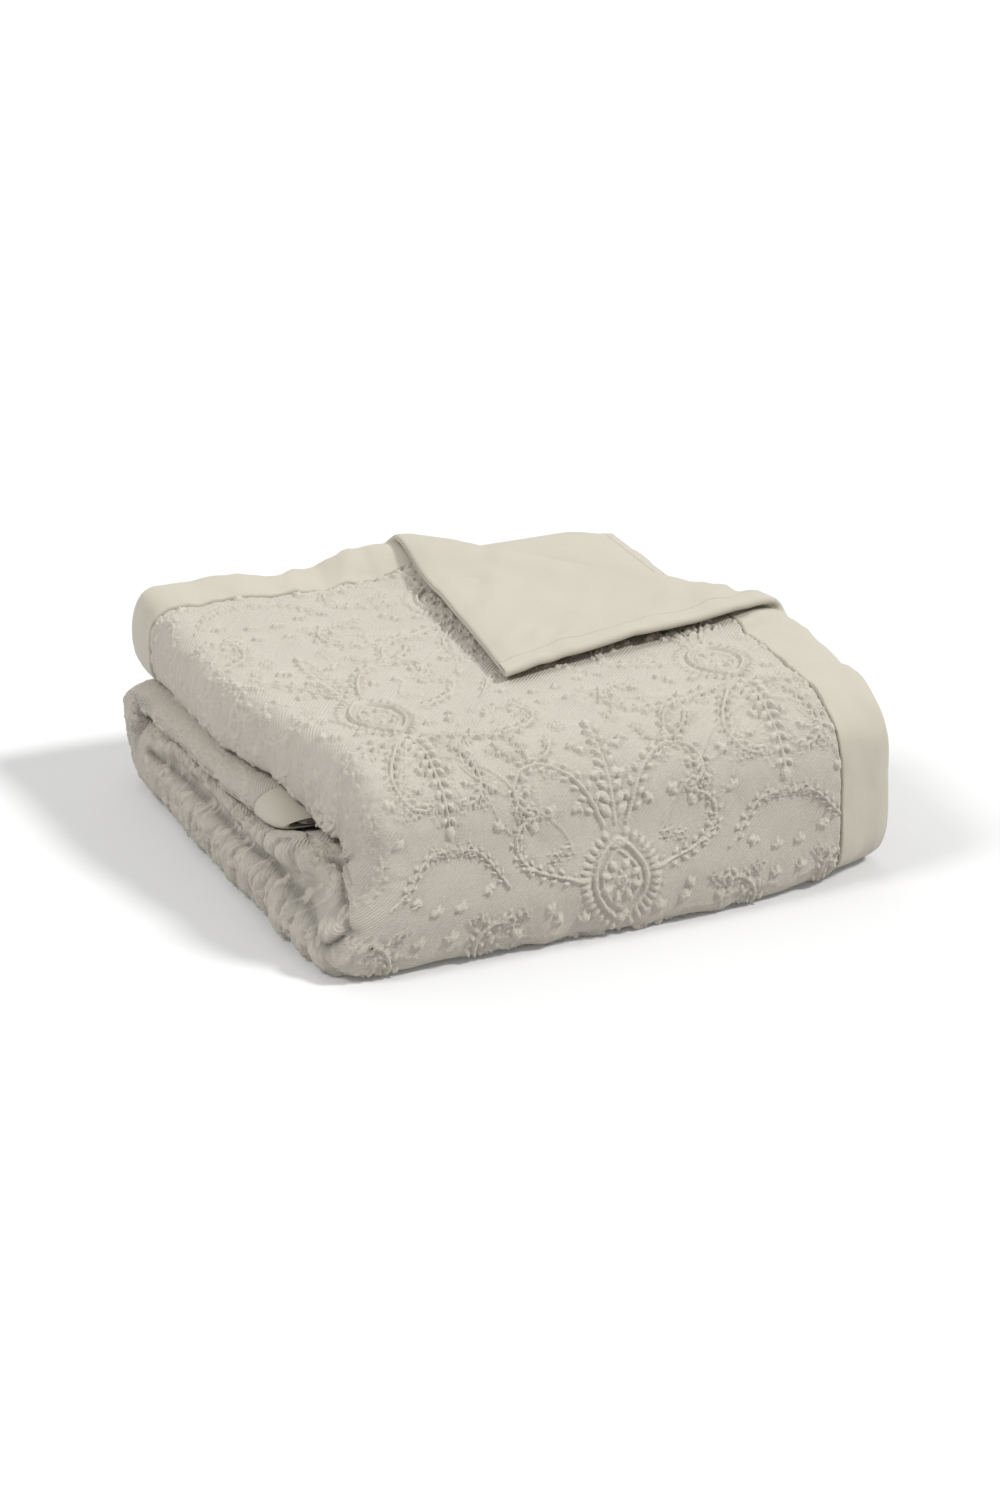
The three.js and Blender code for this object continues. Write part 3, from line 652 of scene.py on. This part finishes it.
def sampled(table, u, v):
    columns, rows = table.shape
    a, b = u / repeat["step"], v / repeat["step"]
    i, j = np.floor(a).astype(int), np.floor(b).astype(int)
    s, t = a - i, b - j
    i, j, k, m = i % columns, j % rows, (i + 1) % columns, (j + 1) % rows
    return lerp(lerp(table[i, j], table[k, j], s), lerp(table[i, m], table[k, m], s), t)


def crumple(u, v, cell, seed):
    slant = relief["crumpleSlant"]
    coarse = 1 - 2 * np.abs(latticeNoise(u, v, cell * 2, seed))
    fine = 1 - 2 * np.abs(latticeNoise(u + v * slant, v - u * slant, cell, seed + 1))
    return relief["crumpleCoarse"] * coarse + (1 - relief["crumpleCoarse"]) * fine


# The face is stretched round the outside of the folds, so the repeat is laid out along the bent face,
# as measured on one line across the cloth and one along it.
measured = {"step": 4.0, "acrossAtV": 330.0, "alongAtU": 300.0}


def bentLength(u, v):
    points = clothPoint(u, v, cloth["thickness"]) * 1000
    return np.concatenate([[0], np.cumsum(np.linalg.norm(np.diff(points, axis=0), axis=1))])


acrossLines = np.arange(inset, clothLength - inset, measured["step"])
alongLines = np.arange(inset, clothWidth - inset, measured["step"])
acrossLengths = bentLength(acrossLines, np.full(acrossLines.shape, measured["acrossAtV"]))
alongLengths = bentLength(np.full(alongLines.shape, measured["alongAtU"]), alongLines)


def onFace(u, v):
    return np.interp(u, acrossLines, acrossLengths), np.interp(v, alongLines, alongLengths)


def onRepeat(u, v):
    strayU = relief["stray"] * latticeNoise(u, v, relief["straySize"], relief["seed"])
    strayV = relief["stray"] * latticeNoise(u, v, relief["straySize"], relief["seed"] + 1)
    across, along = onFace(u, v)
    return ((across + strayU) / relief["scale"] + relief["phase"][0],
            relief["phase"][1] - (along + strayV) / relief["scale"])


# Creases along the folded end, where its layers are pressed into each other
endCreases = readTable(
    "u0 v0 u1 v1 height width",
    (599, 1030, 600, 912, -9.0, 2.4), (600, 912, 601, 734, -10.0, 2.6), (601, 734, 599, 682, -11.0, 2.8),
    (599, 682, 591, 640, -11.0, 3.0), (591, 640, 578, 596, -9.5, 3.0),
    (620, 652, 604, 612, -9.0, 3.0), (604, 612, 594, 590, -9.0, 3.0), (594, 590, 572, 593, -8.0, 2.6),
    (602, 1230, 600, 1310, -3.0, 3.0), (600, 1310, 604, 1420, -3.5, 3.0),
)
# Short puckers that run off the long crease, down and up the end
endPuckers = readTable(
    "u0 v0 u1 v1 height width",
    (598, 985, 584, 979, -2.5, 2.5), (598, 962, 580, 968, -3.0, 2.5), (598, 944, 582, 936, -3.5, 2.5),
    (598, 920, 586, 925, -2.5, 2.0), (599, 898, 578, 890, -3.5, 3.0), (599, 872, 584, 877, -3.0, 2.5),
    (600, 842, 576, 850, -4.0, 3.0), (600, 818, 582, 811, -3.5, 2.5), (600, 788, 572, 780, -5.0, 3.0),
    (600, 768, 578, 772, -4.0, 2.5), (600, 744, 570, 736, -5.5, 3.0), (599, 724, 576, 729, -5.0, 2.5),
    (598, 706, 566, 698, -6.0, 3.0), (597, 688, 570, 692, -5.0, 3.0), (595, 670, 562, 660, -6.0, 3.0),
    (592, 652, 566, 655, -4.5, 2.5), (588, 634, 560, 622, -5.0, 3.0), (584, 612, 562, 610, -4.0, 2.5),
    (603, 930, 614, 926, -2.0, 2.0), (603, 880, 616, 886, -2.5, 2.0), (603, 800, 618, 806, -3.5, 2.5),
    (603, 760, 620, 752, -4.0, 3.0), (603, 728, 622, 734, -4.0, 3.0), (602, 700, 620, 694, -4.5, 3.0),
    (604, 668, 616, 676, -4.0, 2.5), (596, 566, 606, 560, -3.0, 3.0),
)
# Lumps in front of the middle slab's end
endLumps = readTable(
    "u0 v0 u1 v1 height width",
    (618, 742, 622, 700, 7.0, 11), (612, 690, 616, 670, 3.5, 8), (584, 705, 592, 722, 2.0, 6),
)
# Waves all over the end, stronger round the long crease of the bottom slab
endWaves = {
    "height": 2.8, "plain": 0.9, "creaseU": 600, "reach": 30,
    "slabStart": (560, 620), "slabEnd": (1060, 1000),
    "long": 13, "longShare": 0.7, "short": 5, "shortShare": 0.4, "stretch": 0.4, "shift": 50, "slant": 0.2,
    "level": 0.8, "seed": 31, "before": 40, "fullAfter": 5, "beyond": 14,
}
# Small pulls along the seam between the panel and the borders
seam = {"height": 1.6, "reach": 9, "cell": 5.5, "across": 0.3, "level": 0.4, "seed": 41}


def endCreasing(u, v):
    creases = np.minimum(folds(u, v, endCreases, sharp), folds(u, v, endPuckers, sharp))
    return np.maximum(creases, -relief["creaseDepth"])


def endFolds(u, v):
    start, end = topLayerEnd - endWaves["before"], endTurnEnd + endWaves["beyond"]
    onEnd = (u > start) & (u < end)
    moved = np.zeros(u.shape)
    un, vn = u[onEnd], v[onEnd]
    inBottom = fade(vn, endWaves["slabStart"]) * fade(vn, endWaves["slabEnd"])
    nearCrease = bell(un - endWaves["creaseU"], endWaves["reach"])
    size = endWaves["plain"] + endWaves["height"] * nearCrease * inBottom
    stretched, slanted = un * endWaves["stretch"], vn + un * endWaves["slant"]
    longOnes = np.abs(latticeNoise(stretched, vn, endWaves["long"], endWaves["seed"]))
    shortOnes = latticeNoise(stretched + endWaves["shift"], slanted, endWaves["short"], endWaves["seed"] + 1)
    waves = endWaves["longShare"] * longOnes + endWaves["shortShare"] * np.abs(shortOnes)
    waves = 2 * waves - endWaves["level"]
    inside = ramp(un, start, topLayerEnd + endWaves["fullAfter"]) * ramp(un, end, endTurnEnd)
    moved[onEnd] = (size * waves + endCreasing(un, vn) + folds(un, vn, endLumps)) * inside
    return moved


def seamPuckers(u, v):
    fromSeam = np.minimum(np.minimum(u, v), np.minimum(clothLength - u, clothWidth - v)) - cloth["border"]
    along = np.where(u < v, v, u)
    pull = np.abs(latticeNoise(along, fromSeam * seam["across"], seam["cell"], seam["seed"])) - seam["level"]
    return seam["height"] * pull * np.exp(-np.abs(fromSeam) / seam["reach"])


def raisedWeave(u, v):
    place = onRepeat(u, v)
    raised, dip, busy = (sampled(table, *place) for table in (field, softField, busyField))
    lump = latticeNoise(u, v, relief["lumpSize"], relief["seed"] + 2)
    lump += relief["fineLump"] * latticeNoise(u, v, relief["lumpSize"] / 2, relief["seed"] + 3)
    puckers = crumple(u, v, relief["crumpleSize"], relief["seed"] + 4) * lerp(relief["crumplePlain"], 1, busy)
    onEnd = ramp(u, topLayerEnd - relief["endBefore"], topLayerEnd + relief["endAfter"])
    weave = relief["height"] * raised - relief["dip"] * dip + relief["crumple"] * puckers
    return (weave * lerp(1, relief["endShare"], onEnd) + relief["lump"] * lump
            + endFolds(u, v) + seamPuckers(u, v) - relief["sink"])


# Makes a material's nodes. An input is named by its words, or by i and its number.
def nodeMaker(material):
    tree = material.node_tree

    def make(kind, settings=None, **inputs):
        node = tree.nodes.new(kind)
        for name, value in (settings or {}).items():
            setattr(node, name, value)
        for name, value in inputs.items():
            byNumber = name[0] == "i" and name[1:].isdigit()
            socket = node.inputs[int(name[1:]) if byNumber else name]
            if isinstance(value, bpy.types.NodeSocket):
                tree.links.new(value, socket)
            else:
                socket.default_value = value
        return node.outputs

    return make


# What the two cloths' materials share. A pair is a range, from where a change starts to where it ends.
weave = {
    "sheenRoughness": 0.5, "detail": 2.0, "speckFrom": (0.3, 0.7), "speckTo": (0.94, 1.03),
    "ribFade": (0.1, 0.9), "ribScale": 0.314, "ribDistortion": 0.6, "ribDetail": 2.0, "crinkleDetail": 3.0,
    "wrinkleDetail": 1.0, "bump": 0.001,
}


def clothMaterial(name, look):
    material = bpy.data.materials.new(name)
    material.use_nodes = True
    make = nodeMaker(material)
    shader = material.node_tree.nodes["Principled BSDF"]
    shader.inputs["Roughness"].default_value = look["roughness"]
    shader.inputs["Sheen Weight"].default_value = look["sheen"]
    shader.inputs["Sheen Roughness"].default_value = weave["sheenRoughness"]
    shader.inputs["Specular IOR Level"].default_value = look["specular"]
    flat = make("ShaderNodeUVMap", {"uv_map": "cloth"})[0]
    inMillimetres = make("ShaderNodeVectorMath", {"operation": "SCALE"}, i0=flat, Scale=1000.0)[0]
    raised = make("ShaderNodeAttribute", {"attribute_name": "raised"})["Fac"]
    busy = make("ShaderNodeAttribute", {"attribute_name": "busy"})["Fac"]

    def noise(cell, detail, stretch=(1, 1, 1)):
        place = make("ShaderNodeMapping", i0=inMillimetres, Scale=tuple(s / cell for s in stretch))[0]
        flatNoise = {"noise_dimensions": "2D"}
        return make("ShaderNodeTexNoise", flatNoise, Vector=place, Scale=1.0, Detail=detail)[0]

    def ranged(value, fromRange, toRange):
        low, high = fromRange
        return make("ShaderNodeMapRange", i0=value, i1=low, i2=high, i3=toRange[0], i4=toRange[1])[0]

    def maths(operation, a, b):
        return make("ShaderNodeMath", {"operation": operation}, i0=a, i1=b)[0]

    # colour: broad patches, specks of thread, and painted shade: the ground is darker than the raised motifs,
    # and darker still in the hollows round them and in the creases
    patches = noise(look["patch"], weave["detail"])
    threads = noise(look["thread"], weave["detail"])
    dark, light = (*look["dark"], 1), (*look["light"], 1)
    tone = make("ShaderNodeMix", {"data_type": "RGBA"}, i0=patches, i6=dark, i7=light)[2]
    speck = ranged(threads, weave["speckFrom"], weave["speckTo"])
    # painted shade: the ground between the motifs is darker than their raised tops, and raised values below
    # zero darken the hollows and creases
    paintedReliefShade = ranged(raised, (0.0, 1.0), (look["paintedGroundShade"], 1.0))
    paintedHollowShade = ranged(raised, (-1.0, 0.0), (look["paintedHollowShade"], 1.0))
    specksAndShade = maths("MULTIPLY", maths("MULTIPLY", speck, paintedReliefShade), paintedHollowShade)
    grey = make("ShaderNodeCombineColor", i0=specksAndShade, i1=specksAndShade, i2=specksAndShade)[0]
    multiply = {"data_type": "RGBA", "blend_type": "MULTIPLY"}
    colour = make("ShaderNodeMix", multiply, i0=1.0, i6=tone, i7=grey)[2]
    material.node_tree.links.new(colour, shader.inputs["Base Color"])

    # relief too fine for the mesh: slanted ribs on plain ground, crinkles, threads and soft wrinkles
    ribPlace = make("ShaderNodeMapping", i0=inMillimetres, Rotation=(0, 0, look["ribTurn"]),
                    Scale=(1 / look["rib"],) * 3)[0]
    ribs = make("ShaderNodeTexWave", {"wave_profile": "SIN"}, Vector=ribPlace, Scale=weave["ribScale"],
                Distortion=weave["ribDistortion"], **{"Detail Scale": weave["ribDetail"]})[1]
    ribs = maths("MULTIPLY", ribs, ranged(busy, weave["ribFade"], (look["ribHeight"], 0.0)))
    crinkle = noise(look["crinkle"], weave["crinkleDetail"], look["crinkleStretch"])
    crinkleHeight = ranged(busy, (0.0, 1.0), (look["crinklePlain"], look["crinkleBusy"]))
    crinkle = maths("MULTIPLY", crinkle, crinkleHeight)
    threads = maths("MULTIPLY", threads, look["threadHeight"])
    wrinkles = noise(look["wrinkle"], weave["wrinkleDetail"], look["wrinkleStretch"])
    wrinkles = maths("MULTIPLY", wrinkles, look["wrinkleHeight"])
    total = maths("ADD", maths("ADD", maths("ADD", ribs, crinkle), threads), wrinkles)
    bump = make("ShaderNodeBump", Strength=1.0, Distance=weave["bump"], Height=total)[0]
    material.node_tree.links.new(bump, shader.inputs["Normal"])
    return material


# Heights and lengths are in millimetres of cloth. The ground and hollow shares are painted shade, darkening
# the colour between the raised motifs and in the hollows round them.
jacquardCloth = clothMaterial("jacquardCloth", {
    "light": (0.575, 0.536, 0.465), "dark": (0.535, 0.495, 0.425), "paintedGroundShade": 0.93, "paintedHollowShade": 0.5,
    "roughness": 0.92, "sheen": 0.12, "specular": 0.25, "patch": 45, "thread": 1.1, "threadHeight": 0.5,
    "rib": 3.0, "ribTurn": 0.75, "ribHeight": 0.6,
    "crinkle": 2.8, "crinkleStretch": (0.8, 1.2, 1), "crinklePlain": 0.4, "crinkleBusy": 1.4,
    "wrinkle": 30, "wrinkleStretch": (1, 1, 1), "wrinkleHeight": 0.5,
})
sateenCloth = clothMaterial("sateenCloth", {
    "light": (0.50, 0.465, 0.39), "dark": (0.476, 0.44, 0.364), "paintedGroundShade": 1.0, "paintedHollowShade": 1.0,
    "roughness": 0.8, "sheen": 0.18, "specular": 0.35, "patch": 60, "thread": 0.8, "threadHeight": 0.1,
    "rib": 1.2, "ribTurn": 0.3, "ribHeight": 0.04,
    "crinkle": 9, "crinkleStretch": (1, 0.7, 1), "crinklePlain": 0.35, "crinkleBusy": 0.35,
    "wrinkle": 42, "wrinkleStretch": (1, 0.6, 1), "wrinkleHeight": 2.2,
})
print("materials made: jacquard and sateen")

faceLow = cloth["backing"] + cloth["gap"]

# The fine skins of the jacquard face. Their edges drop into the sheet below, and the top one stops
# before the turned corner. Steps are the mesh's in u and in v.
skin = {
    "rimReach": 2.5, "rimDrop": 5, "beforeCorner": 4,
    "topSteps": (1.35, 1.6), "frontSteps": (1.35, 0.85), "endSteps": (1.0, 1.7), "backSteps": (2.4, 1.4),
}


def dropAtRim(u, v, uRange, vRange, reach):
    nearest = np.minimum(np.minimum(u - uRange[0], uRange[1] - u), np.minimum(v - vRange[0], vRange[1] - v))
    return np.sqrt(np.maximum(0, 1 - (1 - np.clip(nearest / reach, 0, 1)) ** 2))


def faceSkin(name, uLines, vLines, keep=None):
    u, v = np.meshgrid(uLines, vLines, indexing="ij")
    near = dropAtRim(u, v, (inset, clothLength - inset), (inset, clothWidth - inset), skin["rimReach"])
    n = lerp(cloth["thickness"] - skin["rimDrop"], cloth["thickness"] + raisedWeave(u, v), near)
    points = clothPoint(u, v, n).reshape(-1, 3)
    faces = gridFaces(*u.shape, keep=None if keep is None else keep(u, v))
    piece = meshPiece(name, points, faces, np.stack(onFace(u, v), axis=-1).reshape(-1, 2), jacquardCloth)
    raised, dip, busy = (sampled(table, *onRepeat(u, v)) for table in (field, softField, busyField))
    # painted shade: the raised value is lowered in the dips round the motifs, so their colour is darker there
    raised = raised - relief["paintedHollowShade"] * dip * (1 - raised)
    if uLines[-1] > endTurnEnd:  # the folded end's skin, with its creases
        # painted shade in the creases of the folded end
        raised = raised + np.minimum(endCreasing(u, v), 0) / relief["creaseDepth"]
    for word, values in (("raised", raised), ("busy", busy)):
        layer = piece.data.attributes.new(word, "FLOAT", "POINT")
        layer.data.foreach_set("value", values.ravel())
    return piece


def beforeCorner(u, v):
    _, out = foldCoordinates(halfLength - u, halfDepth - v)
    return (out < -skin["beforeCorner"])[:-1, :-1]


def skinLines(side, uRange, vRange):
    uStep, vStep = skin[side + "Steps"]
    return spacedLines(uRange[0], [(uRange[1], uStep)]), spacedLines(vRange[0], [(vRange[1], vStep)])


topLayer = (inset, topLayerEnd)
roundEnd = (topLayerEnd, endTurnEnd + endWaves["beyond"])
topSkin = faceSkin("jacquard_face_top", *skinLines("top", topLayer, (inset, topSlabEnd)), beforeCorner)
frontSkin = faceSkin("jacquard_face_front", *skinLines("front", topLayer, (topSlabEnd, bottomStart)))
endSkin = faceSkin("jacquard_face_end", *skinLines("end", roundEnd, (inset, clothWidth - inset)))
backSkin = faceSkin("jacquard_face_back", *skinLines("back", topLayer, (bottomEnd, backTurnEnd)))
print("jacquard face made: top, front, folded end and back")


def closedSheet(name, uLines, vLines, lowHigh, rim, material):
    u, v = np.meshgrid(uLines, vLines, indexing="ij")
    low, high = lowHigh(u, v)
    near = dropAtRim(u, v, (uLines[0], uLines[-1]), (vLines[0], vLines[-1]), rim)
    middle = (low + high) / 2
    top = clothPoint(u, v, lerp(middle, high, near)).reshape(-1, 3)
    bottom = clothPoint(u, v, lerp(middle, low, near)).reshape(-1, 3)
    rows, columns = u.shape
    edge = np.zeros(u.shape, bool)
    edge[[0, -1]] = True
    edge[:, [0, -1]] = True
    edge = edge.ravel()
    index = np.arange(rows * columns)
    under = np.where(edge, index, index + rows * columns)
    quads = np.array(gridFaces(rows, columns))
    faces = np.concatenate([quads, under[quads[:, ::-1]]]).tolist()
    flat = np.stack([u, v], axis=-1).reshape(-1, 2)
    points = np.concatenate([top, bottom])
    piece = meshPiece(name, points, faces, np.concatenate([flat, flat]), material)
    return removeLoose(piece)


def removeLoose(piece):
    work = bmesh.new()
    work.from_mesh(piece.data)
    loose = [vertex for vertex in work.verts if not vertex.link_faces]
    bmesh.ops.delete(work, geom=loose, context="VERTS")
    work.to_mesh(piece.data)
    work.free()
    return piece


# Mesh steps of the closed sheets: close where the corner is turned, wide on the straight runs
sheet = {
    "cornerU": 330, "cornerV": 320, "cornerStep": 4.5, "straightStep": 14.0,
    "turnStep": 4.0, "wideTurnStep": 6.0, "lastSection": 80,
    "rimLines": 5, "panelRim": 1.5, "backingRim": 0.8, "backingEdge": (0.6, 0.9),
}


def rimLines(start, end, sections, reach):
    inner = spacedLines(start + reach, [*sections, (end - reach, sections[-1][1])])
    steps = reach * (1 - np.cos(np.linspace(0, math.pi / 2, sheet["rimLines"])[:-1]))
    return np.concatenate([start + steps, inner, (end - steps)[::-1]])


def pathSections(path, turnStep):
    sections = []
    for run in path["runs"]:
        end = min(run["start"] + run["length"], path["total"] - sheet["lastSection"])
        sections.append((end, sheet["straightStep"] if "straight" in run else turnStep))
    return sections


uSections = [(sheet["cornerU"], sheet["cornerStep"]), *pathSections(slabPath, sheet["turnStep"])]
vSections = [(sheet["cornerV"], sheet["cornerStep"]), *pathSections(letterPath, sheet["wideTurnStep"])]

# How far the panel lies below its face skins, and how far from the turned corner that starts. The last value
# is painted shade for the panel where it shows in the creases of the folded end.
underSkin = {"face": 3.5, "end": 9.5, "endBefore": 1, "beforeCorner": 20, "paintedCreaseShade": -0.8}


def panelLevels(u, v):
    _, out = foldCoordinates(halfLength - u, halfDepth - v)
    nearCorner = (out > -underSkin["beforeCorner"]) & (v < topSlabEnd)
    onSkin = (v < bottomStart) & (u < topLayerEnd) & ~nearCorner
    onSkin |= (v >= bottomEnd) & (v <= backTurnEnd) & (u < topLayerEnd)
    onEnd = (u >= topLayerEnd - underSkin["endBefore"]) & (u <= endTurnEnd + endWaves["beyond"] / 2)
    below = np.where(onEnd, underSkin["end"], np.where(onSkin, underSkin["face"], 0))
    onCorner = (out > 0) & (u < topLayerEnd) & (v < topSlabEnd)
    return faceLow + onCorner * cloth["backing"], cloth["thickness"] - below


rim = sheet["panelRim"]
panel = closedSheet("jacquard_cloth", rimLines(inset, clothLength - inset, uSections, rim),
                    rimLines(inset, clothWidth - inset, vSections, rim), panelLevels, rim, jacquardCloth)

# The inner cloth shows only at the bottom of the creases on the folded end, and there it gets painted shade.
creaseShadeLayer = panel.data.attributes.new("raised", "FLOAT", "POINT")
atEnd = [vertex.co.x < endCentreX / 1000 for vertex in panel.data.vertices]
creaseShadeLayer.data.foreach_set("value", underSkin["paintedCreaseShade"] * np.array(atEnd))

# The edges of the cloth are rounded, and its side hems end on the rounding.
edgeRound = cloth["edgeRound"]
backInset = (cloth["endHem"] + cloth["gap"] / 2, cloth["sideHem"] + cloth["gap"] / 2)


def roundedBack(depth):
    return halfCloth * (1 - np.sqrt(1 - np.clip(1 - depth / edgeRound, 0, 1) ** 2))


def backingLevels(u, v):
    low = roundedBack(np.minimum(v, clothWidth - v))
    return low, low + cloth["backing"]


rim = sheet["backingRim"]
roundedEdge = (edgeRound + sheet["backingEdge"][0], sheet["backingEdge"][1])
backing = closedSheet("backing_cloth", rimLines(backInset[0], clothLength - backInset[0], uSections, rim),
                      rimLines(backInset[1], clothWidth - backInset[1], [roundedEdge, *vSections], rim),
                      backingLevels, rim, sateenCloth)
print("sheets made: jacquard panel and backing")

# The border's cross-section, in millimetres: an outer rim that is half round, a flat top, a soft corner
# at the seam, and a hem that is turned under. Small values soften its corners.
borderShape = {
    "rimPoints": 13, "topFrom": 8, "topTo": 4, "topPoints": 14, "seamIn": 2.2, "seamDown": 3, "seamPoints": 5,
    "soft": 0.3, "softIn": 0.6, "backFrom": 0.4, "backPoints": 3,
    "roundDepths": (3.2, 2.2, 1.4), "roundFrom": 1, "roundTo": 0.5, "roundHem": 1.2,
    "crown": 0.9, "crownFrom": 0.6, "turnStep": 4, "hemLevel": 0.1,
}


def borderRing(hem):
    depth, low, high = cloth["border"] - cloth["gap"] / 2, faceLow, cloth["thickness"]
    soft, softIn = borderShape["soft"], borderShape["softIn"]
    hemEnd = hem - cloth["gap"] / 2
    firstTurn = -math.acos(max(0, 1 - hemEnd / edgeRound))
    rim = [(edgeRound * (1 - math.cos(a)), halfCloth * (1 + math.sin(a)))
           for a in np.linspace(firstTurn, math.pi / 2, borderShape["rimPoints"])]
    seamIn, seamDown = borderShape["seamIn"], borderShape["seamDown"]
    corner = [(depth - seamIn * (1 - math.sin(a)), high - seamDown * (1 - math.cos(a)))
              for a in np.linspace(0, math.pi / 2, borderShape["seamPoints"])]
    topDepths = np.linspace(borderShape["topFrom"], depth - borderShape["topTo"], borderShape["topPoints"])
    across = [(d, high) for d in topDepths]
    under = [(depth, low + 1), (depth - softIn, low)]
    if hem > edgeRound:  # an end hem reaches past the rounding, over the flat back
        under += [(hemEnd + 1, low), (hemEnd, low - soft), (hemEnd, soft)]
        backEnd = edgeRound + borderShape["backFrom"]
        under += [(d, 0) for d in np.linspace(hemEnd - softIn, backEnd, borderShape["backPoints"])]
    else:  # a side hem ends on the rounding
        roundFrom, roundTo = edgeRound + borderShape["roundFrom"], hemEnd + borderShape["roundTo"]
        depths = (roundFrom, *borderShape["roundDepths"], roundTo)
        under += [(d, roundedBack(d) + low) for d in depths]
        under += [(hemEnd, rim[0][1] + soft + borderShape["roundHem"])]
    return np.array(rim + across + corner + under)


def borderStrip(name, onSide, atStart, step):
    width, length = (clothWidth, clothLength) if onSide else (clothLength, clothWidth)
    ring = borderRing(cloth["sideHem"] if onSide else cloth["endHem"])
    mitre = cloth["gap"] / 2 * math.sqrt(2)
    path = slabPath if onSide else letterPath
    turnStep = min(step, borderShape["turnStep"])
    sections = [(run["start"] + run["length"], step if "straight" in run else turnStep)
                for run in path["runs"]]
    stations = spacedLines(0, sections)
    depth, n = ring[:, 0][None, :], ring[:, 1][None, :]
    cutBack = depth + mitre
    if not onSide:  # an end hem runs on to the side hems
        inHem = n < faceLow - borderShape["hemLevel"]
        cutBack = np.where(inHem, np.minimum(depth, cloth["sideHem"]), depth) + mitre
    s = np.clip(stations[:, None], cutBack, length - cutBack)
    d = np.broadcast_to(depth if atStart else width - depth, s.shape)
    n = np.broadcast_to(n, s.shape)
    u, v = (s, d) if onSide else (d, s)
    outward = np.clip((n - halfCloth) / halfCloth, -1, 1)
    across = np.clip(np.broadcast_to(depth, s.shape) / cloth["border"], 0, 1)
    crown = borderShape["crown"] * np.sin(math.pi * across)
    pull = (crown + seamPuckers(u, v)) * ramp(outward, borderShape["crownFrom"], 1)
    points = clothPoint(u, v, n + pull).reshape(-1, 3)
    rows, columns = s.shape
    index = np.arange(rows * columns).reshape(rows, columns)
    around = np.roll(index, -1, axis=1)
    quads = np.stack([index[:-1], index[1:], around[1:], around[:-1]], axis=-1).reshape(-1, 4)
    if onSide == atStart:
        quads = quads[:, ::-1]
    faces = quads.tolist()
    faces.append(index[0].tolist() if onSide == atStart else index[0][::-1].tolist())
    faces.append(index[-1][::-1].tolist() if onSide == atStart else index[-1].tolist())
    return meshPiece(name, points, faces, np.stack([u, v], axis=-1).reshape(-1, 2), sateenCloth)


# The last number is the mesh step on straight runs, smaller where more of the strip shows.
borderBack = borderStrip("border_back_cloth", True, True, 6)
borderInner = borderStrip("border_inner_cloth", True, False, 12)
borderOpen = borderStrip("border_open_end_cloth", False, True, 5)
borderSecond = borderStrip("border_second_cloth", False, False, 8)
print("borders made: back, inner, open end and second")

faceSkins = [topSkin, frontSkin, endSkin, backSkin]
borders = [borderBack, borderInner, borderOpen, borderSecond]
for piece in (*faceSkins, panel, backing, *borders):
    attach(piece, "root")
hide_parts("jacquard_panel")
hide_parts("backing")
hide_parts("border_back")
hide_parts("border_inner")
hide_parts("border_open_end")
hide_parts("border_second")


print("pieces placed on the solids")

cameraAt = {
    "azimuth": -0.4123529, "elevation": 0.4096377, "distance": 4.5345,
    "right": -0.00429, "up": 0.06685, "lens": 110, "sensor": 36,
}
cosAz, sinAz = math.cos(cameraAt["azimuth"]), math.sin(cameraAt["azimuth"])
cosEl, sinEl = math.cos(cameraAt["elevation"]), math.sin(cameraAt["elevation"])
forward = Vector((-sinAz * cosEl, cosAz * cosEl, -sinEl))
toRight = Vector((cosAz, sinAz, 0))
upward = toRight.cross(forward)
camera = bpy.data.objects.new("camera", bpy.data.cameras.new("camera"))
bpy.context.collection.objects.link(camera)
camera.matrix_world = Matrix((toRight, upward, -forward)).transposed().to_4x4()
camera.location = (Vector((-pack["centre"][0], -pack["centre"][1], 0)) / 1000
                   - forward * cameraAt["distance"] + toRight * cameraAt["right"] + upward * cameraAt["up"])
camera.data.sensor_fit = "VERTICAL"
camera.data.sensor_height = cameraAt["sensor"]
camera.data.lens = cameraAt["lens"]
bpy.context.scene.camera = camera

# A white studio: an even sky, a wide pale floor in metres, and three soft suns
studio = {"sky": 0.42, "floor": 0.67, "floorGlow": 0.06, "floorRoughness": 0.9, "floorReach": 12}
suns = readTable(
    "name strength x y z angle",
    ("key", 2.4, 0.60, -0.30, 0.74, 10),
    ("fill", 1.2, -0.62, 0.05, 0.78, 18),
    ("back", 0.7, 0.0, 0.6, 0.8, 60),
)
floorMesh = bpy.data.meshes.new("floor")
far = studio["floorReach"]
floorCorners = [(x * far, y * far, 0) for x, y in ((-1, -1), (1, -1), (1, 1), (-1, 1))]
floorMesh.from_pydata(floorCorners, [], [(0, 1, 2, 3)])
floor = bpy.data.objects.new("floor", floorMesh)
bpy.context.collection.objects.link(floor)
floorPaint = bpy.data.materials.new("floorPaint")
floorPaint.use_nodes = True
paint = floorPaint.node_tree.nodes["Principled BSDF"].inputs
paint["Base Color"].default_value = (*[studio["floor"]] * 3, 1)
paint["Roughness"].default_value = studio["floorRoughness"]
paint["Emission Color"].default_value = (1, 1, 1, 1)
paint["Emission Strength"].default_value = studio["floorGlow"]
floorMesh.materials.append(floorPaint)

world = bpy.data.worlds.new("studio")
bpy.context.scene.world = world
world.use_nodes = True
world.node_tree.nodes["Background"].inputs["Color"].default_value = (1, 1, 1, 1)
world.node_tree.nodes["Background"].inputs["Strength"].default_value = studio["sky"]
bpy.context.scene.view_settings.view_transform = "Standard"

for row in suns:
    light = bpy.data.lights.new(row["name"], "SUN")
    light.energy = row["strength"]
    light.angle = math.radians(row["angle"])
    sun = bpy.data.objects.new(row["name"], light)
    bpy.context.collection.objects.link(sun)
    sun.rotation_euler = Vector((row["x"], row["y"], row["z"])).to_track_quat("Z", "Y").to_euler()
print("camera, floor and suns placed")
